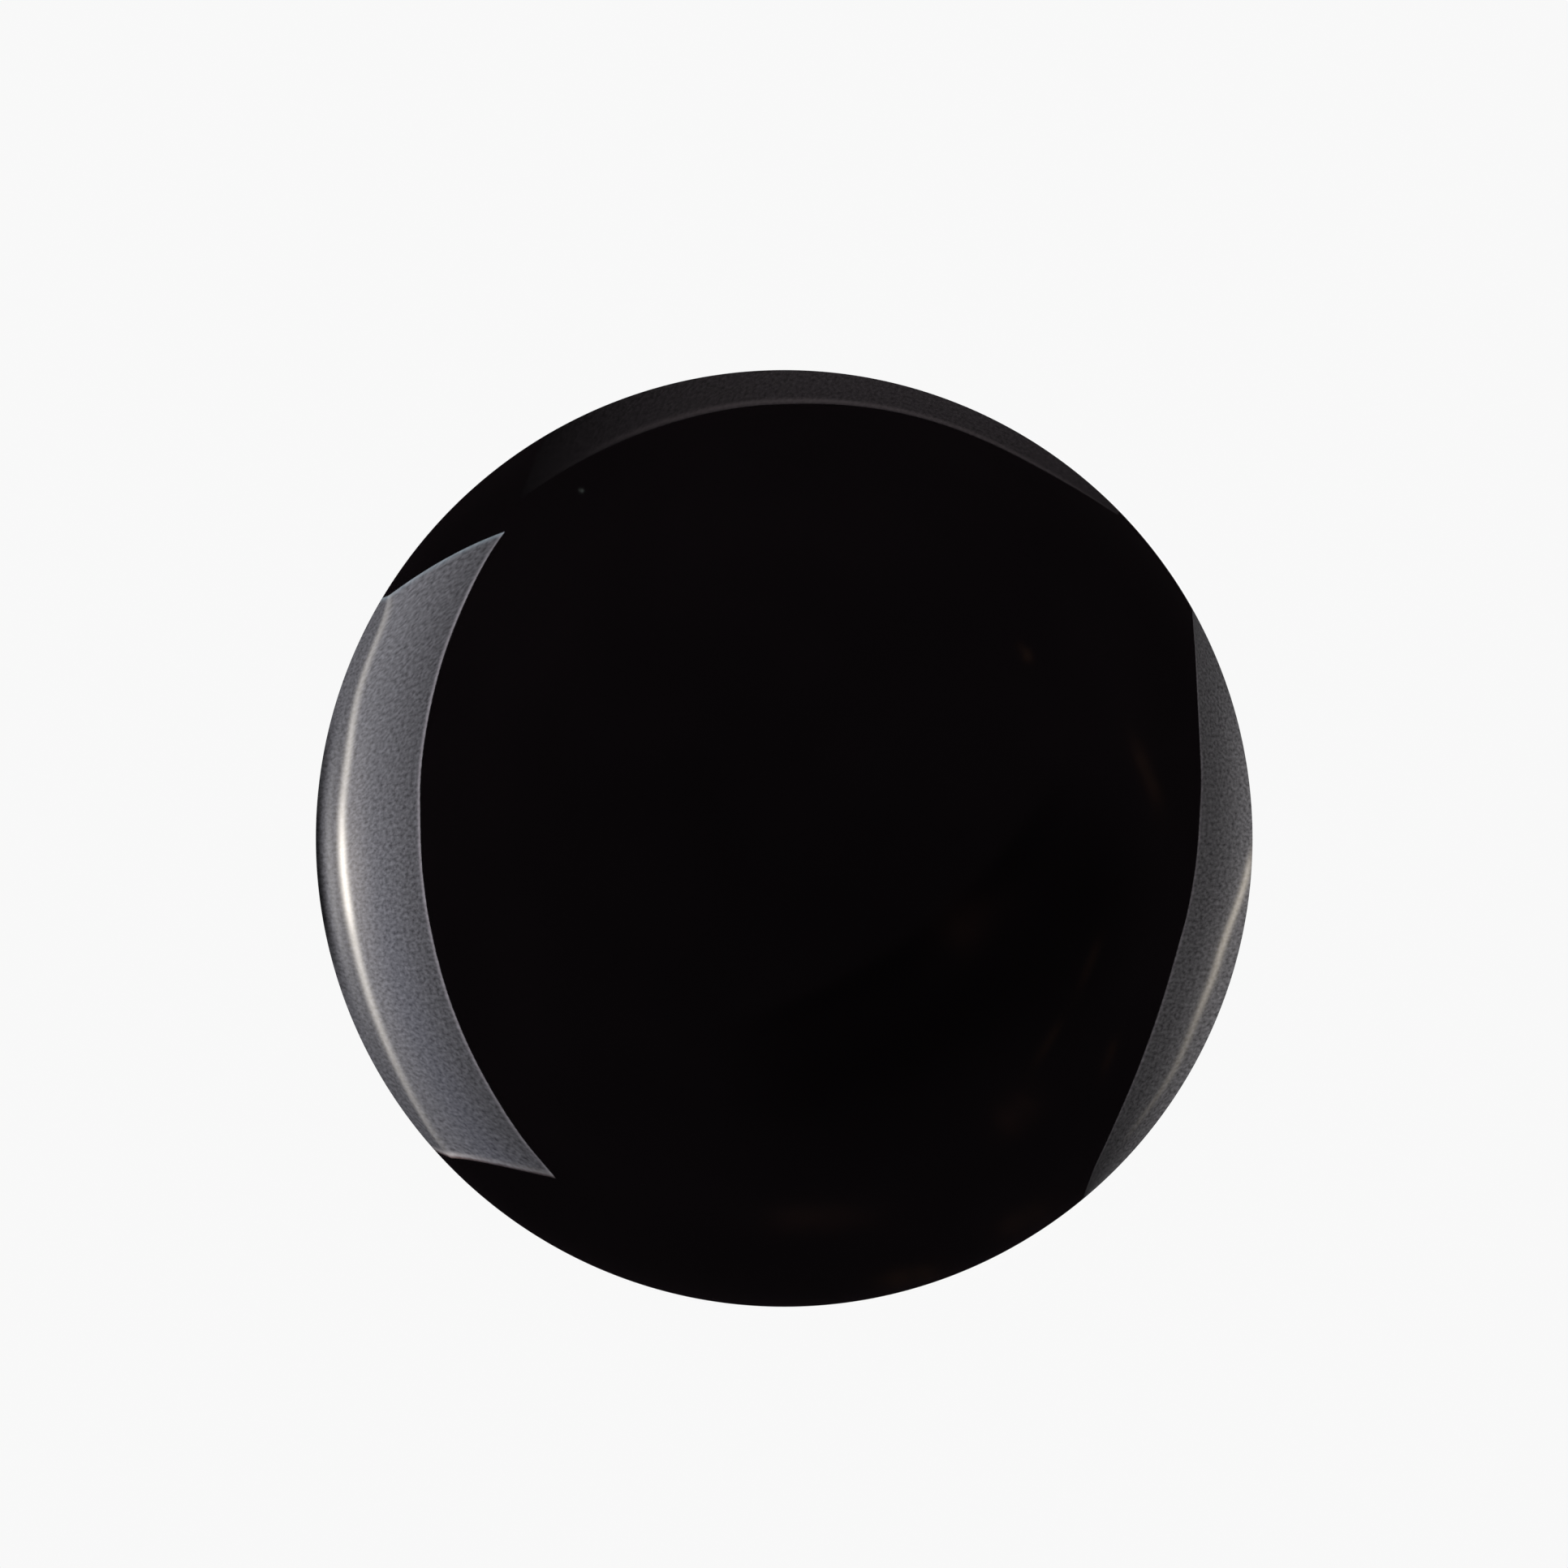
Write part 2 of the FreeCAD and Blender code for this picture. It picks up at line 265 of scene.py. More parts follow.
def turned_black(name, base, rough_lo, rough_hi, pitch_mm, bump_m, edges=()):
    """Black anodised aluminium, turned on a lathe: fine rings, a dry sheen, and dye worn thin on the given edges (r, y)."""
    m, t, p = material(name)
    co = t.coords()
    radius, _, y = about_axis(t)
    p.inputs["IOR"].default_value = 1.62
    p.inputs["Anisotropic"].default_value = 0.55
    t.link(t.node("ShaderNodeTangent", direction_type="RADIAL", axis="Y").outputs[0], p.inputs["Tangent"])
    ring_phase = t.math("MULTIPLY", t.math("ADD", radius, t.math("MULTIPLY", y, 0.83)), 2 * math.pi / (pitch_mm * MM))
    rings = t.math("SINE", ring_phase)
    irregular = t.noise(t.join(radius, y, 0.0), 3300.0, 3.0)
    grain = t.noise(co, 5200.0, 3.0, 0.6)
    cloud = t.noise(co, 260.0, 3.0)
    b0 = tuple(c * 0.75 for c in base) + (1.0,)
    b1 = tuple(c * 1.35 for c in base) + (1.0,)
    col = t.mix(t.math("ADD", t.math("MULTIPLY", cloud, 0.6), t.math("MULTIPLY", grain, 0.4)), b0, b1)
    wear_noise = t.map_range(t.noise(co, 620.0, 4.0, 0.7), 0.36, 0.68, 0.0, 0.85)
    worn = 0.0
    for er, ey in edges:
        d = t.vmath("DISTANCE", t.join(radius, y, 0.0), (er * MM, ey * MM, 0.0))
        near = t.map_range(d, 0.0, 0.075 * MM, 1.0, 0.0, True)
        worn = t.math("MAXIMUM", near, worn)
    if edges:
        worn = t.math("MULTIPLY", worn, wear_noise)
        col = t.mix(t.math("MULTIPLY", worn, 0.7), col, (0.30, 0.29, 0.28, 1))
        t.put(p.inputs["Metallic"], t.math("MULTIPLY", worn, 0.6))
    t.put(p.inputs["Base Color"], col)
    t.put(p.inputs["Roughness"], t.map_range(t.math("ADD", t.math("MULTIPLY", irregular, 0.5), t.math("MULTIPLY", grain, 0.5)), 0.3, 0.7, rough_lo, rough_hi))
    h = t.math("ADD", t.math("MULTIPLY", rings, 0.5), t.math("ADD", t.math("MULTIPLY", irregular, 1.2), t.math("MULTIPLY", grain, 0.5)))
    t.put(p.inputs["Normal"], t.bump(h, 0.5, bump_m))
    return m


def glass_material():
    m, t, p = material("crown_glass_polished")
    co = t.coords()
    p.inputs["IOR"].default_value = 1.5168
    p.inputs["Transmission Weight"].default_value = 1.0
    # a faint water-green body and a few cleaning smears
    t.put(p.inputs["Base Color"], t.mix(t.noise(co, 120.0, 2.0), (0.972, 0.992, 0.985, 1), (0.985, 0.996, 0.992, 1)))
    t.put(p.inputs["Roughness"], t.map_range(t.noise(co, 160.0, 4.0, 0.6, 0.5), 0.58, 0.75, 0.0, 0.012))
    # an anti-reflection coat tints the front face
    p.inputs["Thin Film Thickness"].default_value = 118.0
    p.inputs["Thin Film IOR"].default_value = 1.38
    return m


def ground_glass_material():
    m, t, p = material("crown_glass_ground")
    co = t.coords()
    p.inputs["IOR"].default_value = 1.5168
    p.inputs["Transmission Weight"].default_value = 0.35
    g = t.noise(co, 9000.0, 3.0, 0.7)
    t.put(p.inputs["Base Color"], t.mix(g, (0.55, 0.58, 0.57, 1), (0.80, 0.83, 0.82, 1)))
    t.put(p.inputs["Roughness"], t.map_range(g, 0.3, 0.7, 0.42, 0.62))
    t.put(p.inputs["Normal"], t.bump(g, 0.6, 0.000006))
    return m


def mirror_material():
    m, t, p = material("silver_film")
    co = t.coords()
    p.inputs["Metallic"].default_value = 1.0
    t.put(p.inputs["Base Color"], t.mix(t.noise(co, 300.0, 3.0), (0.955, 0.945, 0.925, 1), (0.975, 0.968, 0.955, 1)))
    t.put(p.inputs["Roughness"], t.map_range(t.noise(co, 2100.0, 3.0), 0.35, 0.7, 0.004, 0.020))
    return m


def plastic(name, lo, hi, rough_lo, rough_hi, scale, bump_m, subsurface=0.0, ior=1.45, rings=0.0):
    m, t, p = material(name)
    co = t.coords()
    p.inputs["IOR"].default_value = ior
    p.inputs["Subsurface Weight"].default_value = subsurface
    p.inputs["Subsurface Radius"].default_value = (0.0009, 0.0008, 0.0007)
    cloud, grain = t.noise(co, scale, 4.0, 0.6), t.noise(co, scale * 9.0, 2.0)
    t.put(p.inputs["Base Color"], t.mix(cloud, lo, hi))
    t.put(p.inputs["Roughness"], t.map_range(t.math("ADD", t.math("MULTIPLY", cloud, 0.5), t.math("MULTIPLY", grain, 0.5)), 0.3, 0.7, rough_lo, rough_hi))
    h = t.math("ADD", grain, t.math("MULTIPLY", cloud, 0.6))
    if rings:
        radius, _, y = about_axis(t)
        h = t.math("ADD", h, t.math("MULTIPLY", t.math("SINE", t.math("MULTIPLY", t.math("ADD", radius, y), 2 * math.pi / (rings * MM))), 0.5))
    t.put(p.inputs["Normal"], t.bump(h, 0.5, bump_m))
    return m


def steel(name, lo, hi, rough_lo, rough_hi):
    m, t, p = material(name)
    co = t.coords()
    p.inputs["Metallic"].default_value = 1.0
    radius, _, y = about_axis(t)
    lines = t.noise(t.join(t.math("MULTIPLY", radius, 1.0), t.math("MULTIPLY", y, 1.0), 0.0), 5200.0, 3.0)
    t.put(p.inputs["Base Color"], t.mix(t.noise(co, 700.0, 3.0), lo, hi))
    t.put(p.inputs["Roughness"], t.map_range(lines, 0.3, 0.7, rough_lo, rough_hi))
    t.put(p.inputs["Normal"], t.bump(lines, 0.4, 0.000003))
    return m


MAT_BALL = ball_material()
MAT_BEZEL = turned_black("bezel_black_anodise", (0.016, 0.016, 0.018), 0.24, 0.38, 0.11, 0.0000022, ((12.22, 14.37), (11.14, 14.38), (14.60, 12.09)))
MAT_BAFFLE = turned_black("baffle_black_anodise", (0.010, 0.010, 0.011), 0.50, 0.66, 0.11, 0.000004)
MAT_CELL = turned_black("cell_black_anodise", (0.020, 0.020, 0.022), 0.50, 0.68, 0.16, 0.000004)
MAT_BORE = steel("bare_turned_steel", (0.42, 0.41, 0.40, 1), (0.52, 0.51, 0.50, 1), 0.22, 0.38)
MAT_GLASS = glass_material()
MAT_GROUND = ground_glass_material()
MAT_MIRROR = mirror_material()
MAT_SHIM = steel("shim_steel_rolled", (0.55, 0.55, 0.56, 1), (0.64, 0.64, 0.65, 1), 0.20, 0.32)
MAT_SCREW = steel("screw_stainless", (0.46, 0.46, 0.47, 1), (0.60, 0.60, 0.61, 1), 0.24, 0.40)
MAT_SEAT = plastic("seat_rubber_red", (0.30, 0.052, 0.026, 1), (0.38, 0.075, 0.038, 1), 0.55, 0.75, 900.0, 0.000004)
MAT_BOND = plastic("bond_silicone", (0.60, 0.60, 0.57, 1), (0.70, 0.70, 0.67, 1), 0.30, 0.48, 900.0, 0.000006, 0.3)
MAT_SEAL = plastic("seal_nitrile", (0.010, 0.010, 0.010, 1), (0.018, 0.018, 0.018, 1), 0.38, 0.58, 1500.0, 0.000003)
MAT_SLIP = plastic("slip_ptfe", (0.74, 0.74, 0.71, 1), (0.82, 0.82, 0.80, 1), 0.32, 0.50, 1100.0, 0.000004, 0.25, 1.35, 0.12)
MAT_DOT = plastic("index_paint_white", (0.72, 0.71, 0.68, 1), (0.82, 0.81, 0.78, 1), 0.28, 0.46, 2600.0, 0.000006)
MAT_NYLON = plastic("pellet_nylon", (0.50, 0.47, 0.38, 1), (0.60, 0.57, 0.48, 1), 0.40, 0.60, 1600.0, 0.000005, 0.2)


# ------------------------------------------------------------------ mesh helpers (all in mm, turned into metres at the end)
def arc_points(radius, a0, a1, n):
    """Points (r, y) on a circle about the origin. The angle is from the -Y axis, in degrees."""
    return [(radius * math.sin(math.radians(a0 + (a1 - a0) * i / n)), -radius * math.cos(math.radians(a0 + (a1 - a0) * i / n))) for i in range(n + 1)]


def rounded(corners, steps=5, support=0.03):
    """Corners (r, y) or (r, y, fillet) as a finer outline: each fillet is an arc, with a supporting point on each side of it."""
    pts = []
    n = len(corners)
    for i, c in enumerate(corners):
        rad = c[2] if len(c) > 2 else 0.0
        here = Vector((c[0], c[1]))
        if rad <= 0 or i in (0, n - 1):
            pts.append((c[0], c[1]))
            continue
        a = Vector(corners[i - 1][:2]) - here
        b = Vector(corners[i + 1][:2]) - here
        la, lb = a.length, b.length
        a.normalize()
        b.normalize()
        half = a.angle(b) / 2
        reach = min(rad / math.tan(half), la * 0.45, lb * 0.45)
        rad = reach * math.tan(half)
        centre = here + (a + b).normalized() * (rad / math.sin(half))
        start, end = here + a * reach, here + b * reach
        v0, v1 = start - centre, end - centre
        turn = v0.angle_signed(v1)
        if reach + support < la * 0.5:
            pts.append(tuple(here + a * (reach + support)))
        for k in range(steps + 1):
            ang = -turn * k / steps
            ca, sa = math.cos(ang), math.sin(ang)
            v = Vector((v0.x * ca - v0.y * sa, v0.x * sa + v0.y * ca))
            pts.append(tuple(centre + v))
        if reach + support < lb * 0.5:
            pts.append(tuple(here + b * (reach + support)))
    return pts


def clean(pts, closed=False):
    out = []
    for p in pts:
        if not out or (Vector(p) - Vector(out[-1])).length > 1e-5:
            out.append(p)
    if closed and (Vector(out[0]) - Vector(out[-1])).length < 1e-5:
        out.pop()
    return out


def finish_mesh(name, bm, mats, body, replaced, angle=32.0, sphere=None, cutters=()):
    bmesh.ops.remove_doubles(bm, verts=bm.verts, dist=1e-5)
    bmesh.ops.dissolve_degenerate(bm, edges=bm.edges, dist=1e-6)
    loose = [v for v in bm.verts if not v.link_faces]
    bmesh.ops.delete(bm, geom=loose, context="VERTS")
    bmesh.ops.recalc_face_normals(bm, faces=bm.faces)
    if bm.calc_volume(signed=True) < 0:
        bmesh.ops.reverse_faces(bm, faces=bm.faces)
    bmesh.ops.scale(bm, vec=(MM, MM, MM), verts=bm.verts)
    open_edges = sum(1 for e in bm.edges if not e.is_manifold)
    me = bpy.data.meshes.new(name)
    bm.to_mesh(me)
    bm.free()
    for m in mats:
        me.materials.append(m)
    o = bpy.data.objects.new(name, me)
    scene.collection.objects.link(o)
    for i, c in enumerate(cutters):
        scene.collection.objects.link(c)
        mod = o.modifiers.new(f"cut{i}", "BOOLEAN")
        mod.operation, mod.solver, mod.object = "DIFFERENCE", "EXACT", c
    if cutters:
        bpy.context.view_layer.update()
        cut_me = bpy.data.meshes.new_from_object(o.evaluated_get(bpy.context.evaluated_depsgraph_get()))
        o.modifiers.clear()
        o.data = cut_me
        bpy.data.meshes.remove(me)
        me = cut_me
        me.name = name
        for c in cutters:
            bpy.data.objects.remove(c)
    me.shade_smooth()
    me.set_sharp_from_angle(angle=math.radians(angle))
    if sphere:
        # a lapped ball: its normals are the sphere's own, so mirrored edges stay clean
        normals = [tuple(n.vector) for n in me.corner_normals]
        for f in me.polygons:
            if all(abs(me.vertices[i].co.length - sphere * MM) < 2e-7 for i in f.vertices):
                for li in f.loop_indices:
                    normals[li] = tuple(me.vertices[me.loops[li].vertex_index].co.normalized())
        me.normals_split_custom_set(normals)
    if body:
        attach(o, body)
    if replaced:
        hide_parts(*replaced)
    print(f"piece {name}: {len(me.polygons)} faces, {open_edges} open edges")
    return o


def revolve(bm, pts, segs, closed, place=None, mat_of=None):
    """Adds a lathe surface about Y. place(r, y, column) may give a point's own radius, height and angle."""
    rings = []
    for r, y in pts:
        if r < 1e-6:
            rings.append([bm.verts.new((0, y, 0))])
            continue
        ring = []
        for k in range(segs):
            rr, yy, a = place(r, y, k) if place else (r, y, 2 * math.pi * k / segs)
            ring.append(bm.verts.new((rr * math.cos(a), yy, rr * math.sin(a))))
        rings.append(ring)
    count = len(rings) if closed else len(rings) - 1
    for i in range(count):
        a, b = rings[i], rings[(i + 1) % len(rings)]
        mi = mat_of(pts[i], pts[(i + 1) % len(pts)]) if mat_of else 0
        for k in range(segs):
            k2 = (k + 1) % segs
            if len(a) == 1 and len(b) == 1:
                continue
            if len(a) == 1:
                f = bm.faces.new((a[0], b[k], b[k2]))
            elif len(b) == 1:
                f = bm.faces.new((a[k], b[0], a[k2]))
            else:
                f = bm.faces.new((a[k], b[k], b[k2], a[k2]))
            f.material_index = mi
            f.smooth = True
    return rings


def rod_cutter(name, radius, start, end, n):
    """A closed rod between two points in mm, for drilling a hole."""
    a, b = Vector(start) * MM, Vector(end) * MM
    turn = (b - a).to_track_quat("Z", "Y").to_matrix().to_4x4()
    bm = bmesh.new()
    bmesh.ops.create_cone(bm, cap_ends=True, segments=n, radius1=radius * MM, radius2=radius * MM, depth=(b - a).length,
                          matrix=Matrix.Translation((a + b) / 2) @ turn)
    me = bpy.data.meshes.new(name)
    bm.to_mesh(me)
    bm.free()
    return bpy.data.objects.new(name, me)


def tri_wave(x):
    """A 60 degree thread's outline over one pitch, with a small flat on crest and root. 0 at the crest, 1 at the root."""
    f = abs((x % 1.0) * 2 - 1)
    return min(1.0, max(0.0, (f - 0.10) / 0.80))


# ------------------------------------------------------------------ ball
SPLIT_Y = -0.9        # both meshes end here, face to face


def make_ball_closed_side():
    """The unbroken side, with the bottom of the cell's bore."""
    segs = 384
    stop = math.degrees(math.acos(-SPLIT_Y / BALL_R))
    outline = arc_points(BALL_R, 0, stop, 150)
    inner = [(11.0, SPLIT_Y)] + rounded([(11.0, SPLIT_Y), (11.0, -6.6, 0.1), (10.2, -7.4, 0.1), (0.0, -7.4)], 4)[1:]
    bm = bmesh.new()
    revolve(bm, clean(outline + inner), segs, False, mat_of=lambda p, q: 0 if math.hypot(*p) > BALL_R - 0.01 and math.hypot(*q) > BALL_R - 0.01 else 1)
    return finish_mesh("ball_closed_side", bm, [MAT_BALL, MAT_BORE], "ball", ["ball_body"], sphere=BALL_R)


def make_ball_open_side():
    """The side with the mouth, the threaded counterbore, the shim's ledge and the upper part of the cell's bore."""
    segs = 384
    start = math.degrees(math.acos(-SPLIT_Y / BALL_R))
    edge = math.degrees(math.acos(-(MOUTH_Y - 0.15) / BALL_R))
    pts = arc_points(BALL_R, start, edge - 0.12, 56) + [arc_points(BALL_R, edge, edge, 1)[0]]
    edge_r = pts[-1][0]
    pts += rounded([
        pts[-1], (edge_r - 0.05, MOUTH_Y - 0.045, 0.05), (edge_r - 0.24, MOUTH_Y, 0.1), (BORE_R + 0.16, MOUTH_Y, 0.05),
        (BORE_R, MOUTH_Y - 0.16, 0.04), (BORE_R, MOUTH_Y - 0.30),
    ], 4)[1:]
    # threaded wall, with a run-out at its foot
    y = MOUTH_Y - 0.30
    while y > SHOULDER_Y + 0.55:
        pts.append((BORE_R, y))
        y -= PITCH / 12
    pts += [(BORE_R, SHOULDER_Y + 0.50), (BORE_R + 0.02, SHOULDER_Y + 0.42), (BORE_R + 0.02, SHOULDER_Y + 0.05), (BORE_R + 0.0, SHOULDER_Y)]
    upper = clean(pts)

    def threaded(r, yy, k):
        a = 2 * math.pi * k / segs
        if abs(r - BORE_R) > 1e-6 or yy > MOUTH_Y - 0.29 or yy < SHOULDER_Y + 0.5:
            return r, yy, a
        fade = min(1.0, max(0.0, (MOUTH_Y - 0.30 - yy) / 0.25), max(0.0, (yy - SHOULDER_Y - 0.5) / 0.3))
        # the ring's crests are at wave 0, so the bore follows the same helix, a running clearance further out
        wave = tri_wave((yy - PITCH * a / (2 * math.pi)) / PITCH)
        return r - fade * THREAD_DEPTH * wave, yy, a

    bm = bmesh.new()
    top = revolve(bm, upper, segs, False, threaded, mat_of=lambda p, q: 1 if max(p[0], q[0]) < BORE_R + 0.17 and min(p[1], q[1]) > 0 else 0)
    low = revolve(bm, [(11.0, SHOULDER_Y), (11.0, SHOULDER_Y - 0.05), (11.0, 4.0), (11.0, SPLIT_Y)], segs, False, mat_of=lambda p, q: 1)
    for k in range(segs):      # the closing face at the split
        k2 = (k + 1) % segs
        f = bm.faces.new((low[-1][k], low[-1][k2], top[0][k2], top[0][k]))
        f.material_index = 1
    # the ledge, with its four tapped holes
    hole_r, hole_y, n_hole = 0.62, 4.80, 40
    outer = [v.co.copy() for v in top[-1]]
    inner = [v.co.copy() for v in low[0]]
    flat, edges = [], []
    for ring in (outer, inner):
        base = len(flat)
        flat += [Vector((c.x, c.z)) for c in ring]
        edges += [(base + k, base + (k + 1) % len(ring)) for k in range(len(ring))]
    centres = []
    for deg in (45, 135, 225, 315):
        c = Vector((12.0 * math.cos(math.radians(deg)), 12.0 * math.sin(math.radians(deg))))
        centres.append(c)
        base = len(flat)
        flat += [c + Vector((hole_r * math.cos(2 * math.pi * k / n_hole), hole_r * math.sin(2 * math.pi * k / n_hole))) for k in range(n_hole)]
        edges += [(base + k, base + (k + 1) % n_hole) for k in range(n_hole)]
    vs, es, fs, *_ = geometry.delaunay_2d_cdt(flat, edges, [], 0, 1e-7)
    made = [bm.verts.new((v.x, SHOULDER_Y, v.y)) for v in vs]
    for f in fs:
        c = sum((vs[i] for i in f), Vector((0, 0))) / len(f)
        if c.length < 11.0 * math.cos(math.pi / segs) or c.length > BORE_R or any((c - h).length < hole_r * 0.995 for h in centres):
            continue
        g = bm.faces.new([made[i] for i in f])
        g.material_index = 1
    for c in centres:
        rings = []
        for r, y in ((hole_r, SHOULDER_Y), (hole_r, hole_y), (0.0, hole_y - 0.35)):
            if r == 0:
                rings.append([bm.verts.new((c.x, y, c.y))])
            else:
                rings.append([bm.verts.new((c.x + r * math.cos(2 * math.pi * k / n_hole), y, c.y + r * math.sin(2 * math.pi * k / n_hole))) for k in range(n_hole)])
        for a, b in zip(rings, rings[1:]):
            for k in range(n_hole):
                k2 = (k + 1) % n_hole
                g = bm.faces.new((a[k], b[k], b[k2], a[k2]) if len(b) > 1 else (a[k], b[0], a[k2]))
                g.material_index = 1
    return finish_mesh("ball_open_side", bm, [MAT_BALL, MAT_BORE], "ball", ["ball_body"], sphere=BALL_R)


# ------------------------------------------------------------------ bezel ring
def make_bezel():
    top = BEZEL_Y1
    notch_y, notch_half = top - 0.80, 0.80
    seam_y = MOUTH_Y + 0.05
    out_r = lambda yy: math.sqrt(BEZEL_R ** 2 - yy * yy)
    cone0, cone1 = (9.30, 10.95), (11.0, top - 0.15)

    # front: down the cone in fine baffle grooves, from the mouth to the lip
    baffle = []
    length = math.hypot(cone1[0] - cone0[0], cone1[1] - cone0[1])
    along = ((cone0[0] - cone1[0]) / length, (cone0[1] - cone1[1]) / length)
    normal = (-along[1], along[0])                       # out of the light path, into the metal
    if normal[0] < 0:
        normal = (-normal[0], -normal[1])
    n_groove = 9
    for k in range(n_groove):
        s0 = 0.25 + (length - 0.45) * k / n_groove
        step = (length - 0.45) / n_groove
        for ds, depth in ((0.0, 0.0), (0.10 * step, 0.0), (0.55 * step, 0.13), (0.90 * step, 0.0)):
            s = s0 + ds
            baffle.append((cone1[0] + along[0] * s + normal[0] * depth, cone1[1] + along[1] * s + normal[1] * depth))
    arc_out = []
    y = top - 0.15
    n = 18
    for k in range(n + 1):
        yy = (top - 0.15) + (seam_y + 0.15 - (top - 0.15)) * k / n
        arc_out.append((out_r(yy), yy))
    # one more ring where the notches' floor meets the outside
    arc_out = sorted(arc_out + [(out_r(notch_y), notch_y)], key=lambda q: -q[1])

    outline = rounded([(11.7, top), (11.15, top, 0.05), (cone1[0], cone1[1], 0.06), baffle[0]], 4)[:-1]
    outline += baffle
    outline += rounded([baffle[-1], (cone0[0], cone0[1], 0.05), (9.30, 10.60, 0.04), (11.75, 10.60)], 4)[1:]
    outline += [(11.75, 10.585), (11.98, 10.56), (11.98, 10.32), (11.75, 10.28)]
    outline += rounded([(11.75, 10.28), (11.75, 9.75, 0.05), (13.00, 9.75, 0.05), (THREAD_R, 9.95)], 4)[1:]
    y = 9.95
    while y < seam_y - 0.30:
        y += PITCH / 12
        outline.append((THREAD_R, y))
    relief = THREAD_R - 0.28
    outline += [(relief, seam_y - 0.22), (relief, seam_y - 0.04), (relief + 0.06, seam_y)]
    outline += rounded([(relief + 0.06, seam_y), (out_r(seam_y + 0.15) - 0.16, seam_y, 0.05), arc_out[-1]], 4)[1:]
    outline += arc_out[::-1][1:]
    rim = arc_out[0]
    outline += rounded([rim, (rim[0] - 0.04, top - 0.05, 0.05), (rim[0] - 0.27, top, 0.08), (11.7, top)], 4)[1:-1]
    outline = clean(outline, True)
    # a point exactly at the notches' floor, wherever the outline crosses it
    extra = []
    for i, q in enumerate(outline):
        nxt = outline[(i + 1) % len(outline)]
        extra.append(q)
        if (q[1] - notch_y) * (nxt[1] - notch_y) < 0:
            f = (notch_y - q[1]) / (nxt[1] - q[1])
            extra.append((q[0] + (nxt[0] - q[0]) * f, notch_y))
    outline = clean(extra, True)

    # columns: even ones, and sets that follow the notches' flat walls. Each has a highest y that it may reach.
    notch_at = [math.radians(a) for a in (45, 135, 225, 315)]
    h = notch_half
    across = [(-1.10, top), (-h - 0.07, top), (-h, top - 0.07), (-h, notch_y + 0.06), (-h + 0.06, notch_y), (-0.5, notch_y), (-0.25, notch_y), (0.0, notch_y),
              (0.25, notch_y), (0.5, notch_y), (h - 0.06, notch_y), (h, notch_y + 0.06), (h, top - 0.07), (h + 0.07, top), (1.10, top)]
    cols = []
    n_even = 320
    for c in notch_at:
        cols += [(c, w, cap) for w, cap in across]
        plain = [a for a in (c + 2 * math.pi * (k + 0.5) / n_even for k in range(n_even)) if 0.122 < a - c < math.pi / 2 - 0.122]
        cols += [(a, 0.0, top) for a in plain]

    def place(r, yy, k):
        a, w, cap = cols[k]
        notch = cap < top
        if notch and yy > notch_y and r < 11.2:
            # no grooves beside a notch: its mouth is clean
            r = min(r, max(cone0[0] + (yy - cone0[1]) * (cone1[0] - cone0[0]) / (cone1[1] - cone0[1]), 0))
        if abs(r - THREAD_R) < 1e-6 and yy > 9.94:
            turn = a + (math.asin(w / r) if w else 0.0)
            fade = max(0.0, min(1.0, (yy - 9.95) / 0.2, (seam_y - 0.25 - yy) / 0.12))
            wave = tri_wave((yy - PITCH * turn / (2 * math.pi)) / PITCH)
            r -= (fade * wave + (1 - fade) * (1.0 if yy > 11 else 0.7)) * THREAD_DEPTH
        return r, min(yy, cap), a + (math.asin(w / r) if w else 0.0)

    def mat(p, q):
        return 1 if max(p[0], q[0]) < 11.06 and min(p[1], q[1]) > 10.7 else 0

    bm = bmesh.new()
    revolve(bm, outline, len(cols), True, place, mat)
    drills = [rod_cutter("dot_drill", 0.35, (0, 14.20, 11.66), (0, 15.0, 11.66), 48), rod_cutter("pellet_drill", 0.45, (12.15, 11.30, 0), (14.0, 11.30, 0), 32)]
    return finish_mesh("bezel_ring_turned", bm, [MAT_BEZEL, MAT_BAFFLE], "bezel", ["bezel_ring"], 28.0, cutters=drills)


